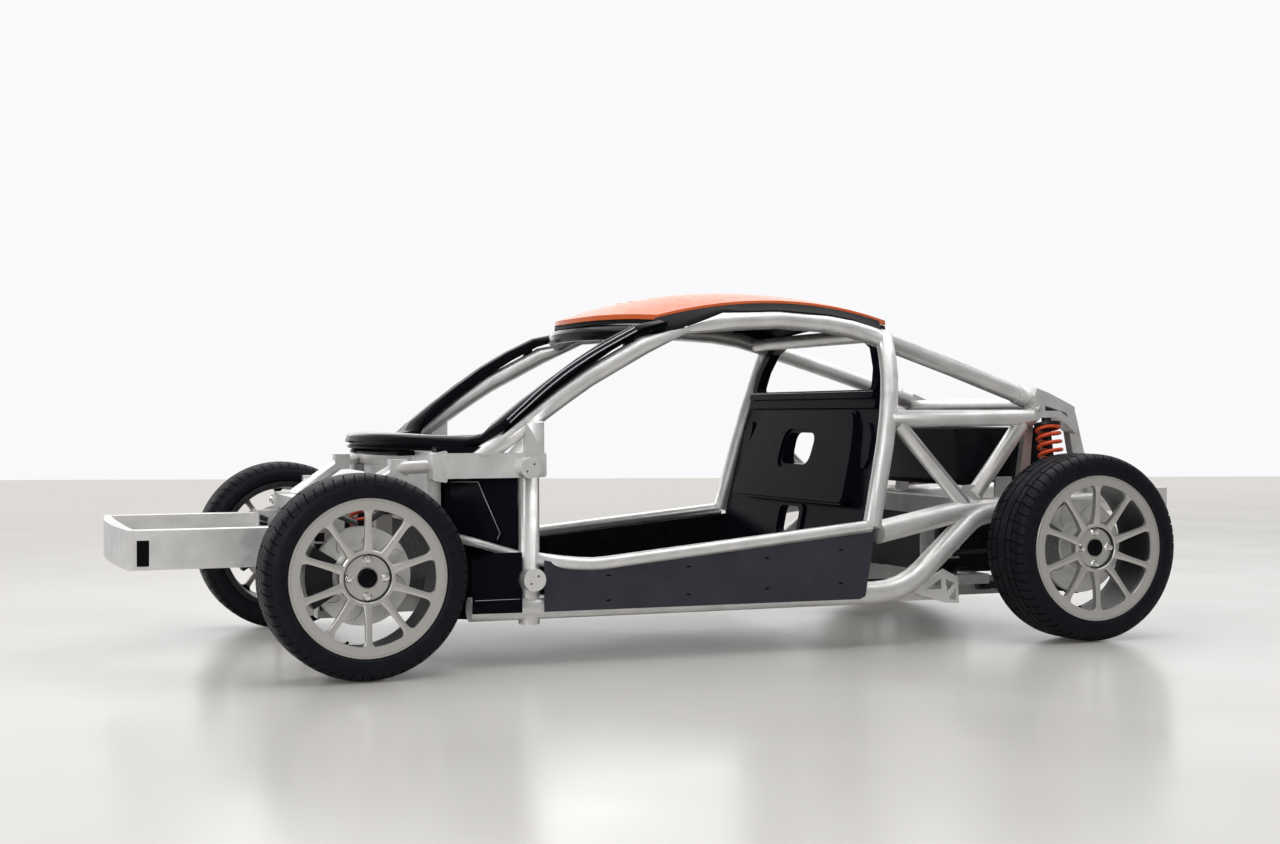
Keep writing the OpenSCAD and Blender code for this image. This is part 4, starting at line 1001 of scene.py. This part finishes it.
for name in list(node):
    if name.split("_")[0] not in ("tyre", "rim", "disc") and name not in ("front_springs", "rear_springs"):
        dressed(name)
for name, w in WHEELS.items():
    make_tyre(name, w)
    make_rim(name, w)
    make_nuts(name, w)
    make_cap(name, w)
    make_disc(name, w)
    make_slots(name, w)
make_springs()
make_collars()
make_boots()
make_welds()
make_fasteners()
make_tube_feet()
make_roof_seals()
make_footwell_fields()
make_sill_dimples()
make_tub_returns()
make_cowl_tray()
make_highlight_beads()


# ---------------------------------------------------------------- camera
EYE = Vector((-2.292, -5.960, 0.778))
YAW, PITCH, ROLL = radians(20.696), radians(-0.283), radians(-0.166)


def add_camera():
    """The camera stands low at the front left of the car."""
    lens = bpy.data.cameras.new("camera")
    lens.sensor_fit, lens.sensor_width, lens.lens = "HORIZONTAL", 36.0, 50.875
    cam = bpy.data.objects.new("camera", lens)
    scene.collection.objects.link(cam)
    ahead = Vector((sin(YAW) * cos(PITCH), cos(YAW) * cos(PITCH), sin(PITCH)))
    side = Vector((cos(YAW), -sin(YAW), 0.0))
    up = side.cross(ahead)
    side, up = side * cos(ROLL) + up * sin(ROLL), up * cos(ROLL) - side * sin(ROLL)
    turn = Matrix((side, up, -ahead)).transposed().to_4x4()
    cam.matrix_world = Matrix.Translation(EYE) @ turn
    lens.clip_end = 200.0
    scene.camera = cam


# ---------------------------------------------------------------- floor and light
FLOOR, FLOOR_DARK, FLOOR_GLOW = (0.66, 0.64, 0.61), (0.58, 0.563, 0.536), (0.74, 0.715, 0.68)
WALL, WALL_GLOW, WALL_AHEAD = (0.80, 0.80, 0.81), (0.95, 0.95, 0.965), 21.6
STAGE_HALF = 40.0


def background_ray(tree):
    """1 where the camera, a reflection or glass sees a surface that is part of the background."""
    path = tree.nodes.new("ShaderNodeLightPath")
    total = path.outputs["Is Camera Ray"]
    for kind in ("Is Glossy Ray", "Is Transmission Ray"):
        add = tree.nodes.new("ShaderNodeMath")
        add.operation, add.use_clamp = "ADD", True
        tree.links.new(total, add.inputs[0])
        tree.links.new(path.outputs[kind], add.inputs[1])
        total = add.outputs[0]
    return total


def stage_sheet(name, bm, material):
    """A plain sheet of the stage, which isn't part of the car."""
    mesh = bpy.data.meshes.new(name)
    bm.to_mesh(mesh)
    bm.free()
    made = bpy.data.objects.new(name, mesh)
    scene.collection.objects.link(made)
    mesh.materials.append(material)


def add_floor():
    """A pale floor that pales further with distance."""
    bm = bmesh.new()
    bmesh.ops.create_grid(bm, x_segments=1, y_segments=1, size=STAGE_HALF)
    f = Finish("pale_concrete", FLOOR, 0.22)
    f.vary_colour(f.noise(1.6, 3.0), FLOOR_DARK)
    f.vary_rough(f.noise(0.8, 2.0), 0.19, 0.26)
    tree = f.tree
    glow = f.new("ShaderNodeEmission")
    glow.inputs["Color"].default_value = (*FLOOR_GLOW, 1.0)
    away = f.new("ShaderNodeTexCoord")
    split = f.new("ShaderNodeSeparateXYZ")
    f.link(away.outputs["Object"], split.inputs[0])
    far = f.new("ShaderNodeMapRange")
    for key, value in (("From Min", -1.2), ("From Max", 9.0), ("To Min", 0.0), ("To Max", 0.95)):
        far.inputs[key].default_value = value
    f.link(split.outputs["Y"], far.inputs["Value"])
    share = f.new("ShaderNodeMath", operation="MULTIPLY")
    f.link(far.outputs["Result"], share.inputs[0])
    path = f.new("ShaderNodeLightPath")
    f.link(path.outputs["Is Camera Ray"], share.inputs[1])
    mix = f.new("ShaderNodeMixShader")
    f.link(share.outputs[0], mix.inputs[0])
    f.link(f.shader.outputs[0], mix.inputs[1])
    f.link(glow.outputs[0], mix.inputs[2])
    f.link(mix.outputs[0], tree.nodes["Material Output"].inputs[0])
    stage_sheet("floor", bm, f.material)


def add_backdrop():
    """A white wall square to the view, which only glows where it is seen."""
    ahead = Vector((sin(YAW), cos(YAW), 0.0))
    bm = bmesh.new()
    bmesh.ops.create_grid(bm, x_segments=1, y_segments=1, size=STAGE_HALF)
    bmesh.ops.rotate(bm, verts=bm.verts, cent=(0, 0, 0), matrix=Matrix.Rotation(radians(90), 3, "X"))
    bmesh.ops.rotate(bm, verts=bm.verts, cent=(0, 0, 0), matrix=Matrix.Rotation(-YAW, 3, "Z"))
    bmesh.ops.translate(bm, verts=bm.verts, vec=EYE * Vector((1, 1, 0)) + ahead * WALL_AHEAD)
    f = Finish("white_wall", WALL, 0.6)
    glow = f.new("ShaderNodeEmission")
    glow.inputs["Color"].default_value = (*WALL_GLOW, 1.0)
    mix = f.new("ShaderNodeMixShader")
    f.link(background_ray(f.tree), mix.inputs[0])
    f.link(f.shader.outputs[0], mix.inputs[1])
    f.link(glow.outputs[0], mix.inputs[2])
    f.link(mix.outputs[0], f.tree.nodes["Material Output"].inputs[0])
    stage_sheet("backdrop", bm, f.material)


def add_lights():
    """A broad lamp overhead, a softer one ahead of the near side, a weak one behind, and a dim hall."""
    def panel(name, at, towards, size, power):
        lamp = bpy.data.lights.new(name, "AREA")
        lamp.shape, lamp.size, lamp.size_y, lamp.energy = "RECTANGLE", size[0], size[1], power
        made = bpy.data.objects.new(name, lamp)
        turn = (Vector(towards) - Vector(at)).to_track_quat("-Z", "Y").to_matrix().to_4x4()
        made.matrix_world = Matrix.Translation(at) @ turn
        scene.collection.objects.link(made)

    panel("overhead", (0.3, 0.4, 4.6), (0, 0, 0.3), (8.0, 6.0), 330)
    panel("front_left", (-4.5, -4.6, 2.6), (-0.3, -0.4, 0.4), (4.0, 3.0), 140)
    panel("behind", (1.5, 5.0, 2.4), (0, 0, 0.6), (5.0, 2.5), 40)
    world = bpy.data.worlds.new("studio")
    scene.world = world
    world.use_nodes = True
    tree = world.node_tree
    sky = tree.nodes["Background"]
    sky.inputs["Color"].default_value = (0.97, 0.98, 1.0, 1.0)
    # mirrors see a dimmer hall than the one that lights the scene
    path = tree.nodes.new("ShaderNodeLightPath")
    dim = tree.nodes.new("ShaderNodeMapRange")
    dim.inputs["To Min"].default_value = 0.40
    dim.inputs["To Max"].default_value = 0.30
    tree.links.new(path.outputs["Is Glossy Ray"], dim.inputs["Value"])
    tree.links.new(dim.outputs["Result"], sky.inputs["Strength"])


add_camera()
add_floor()
add_backdrop()
add_lights()
scene.view_settings.view_transform = "Standard"
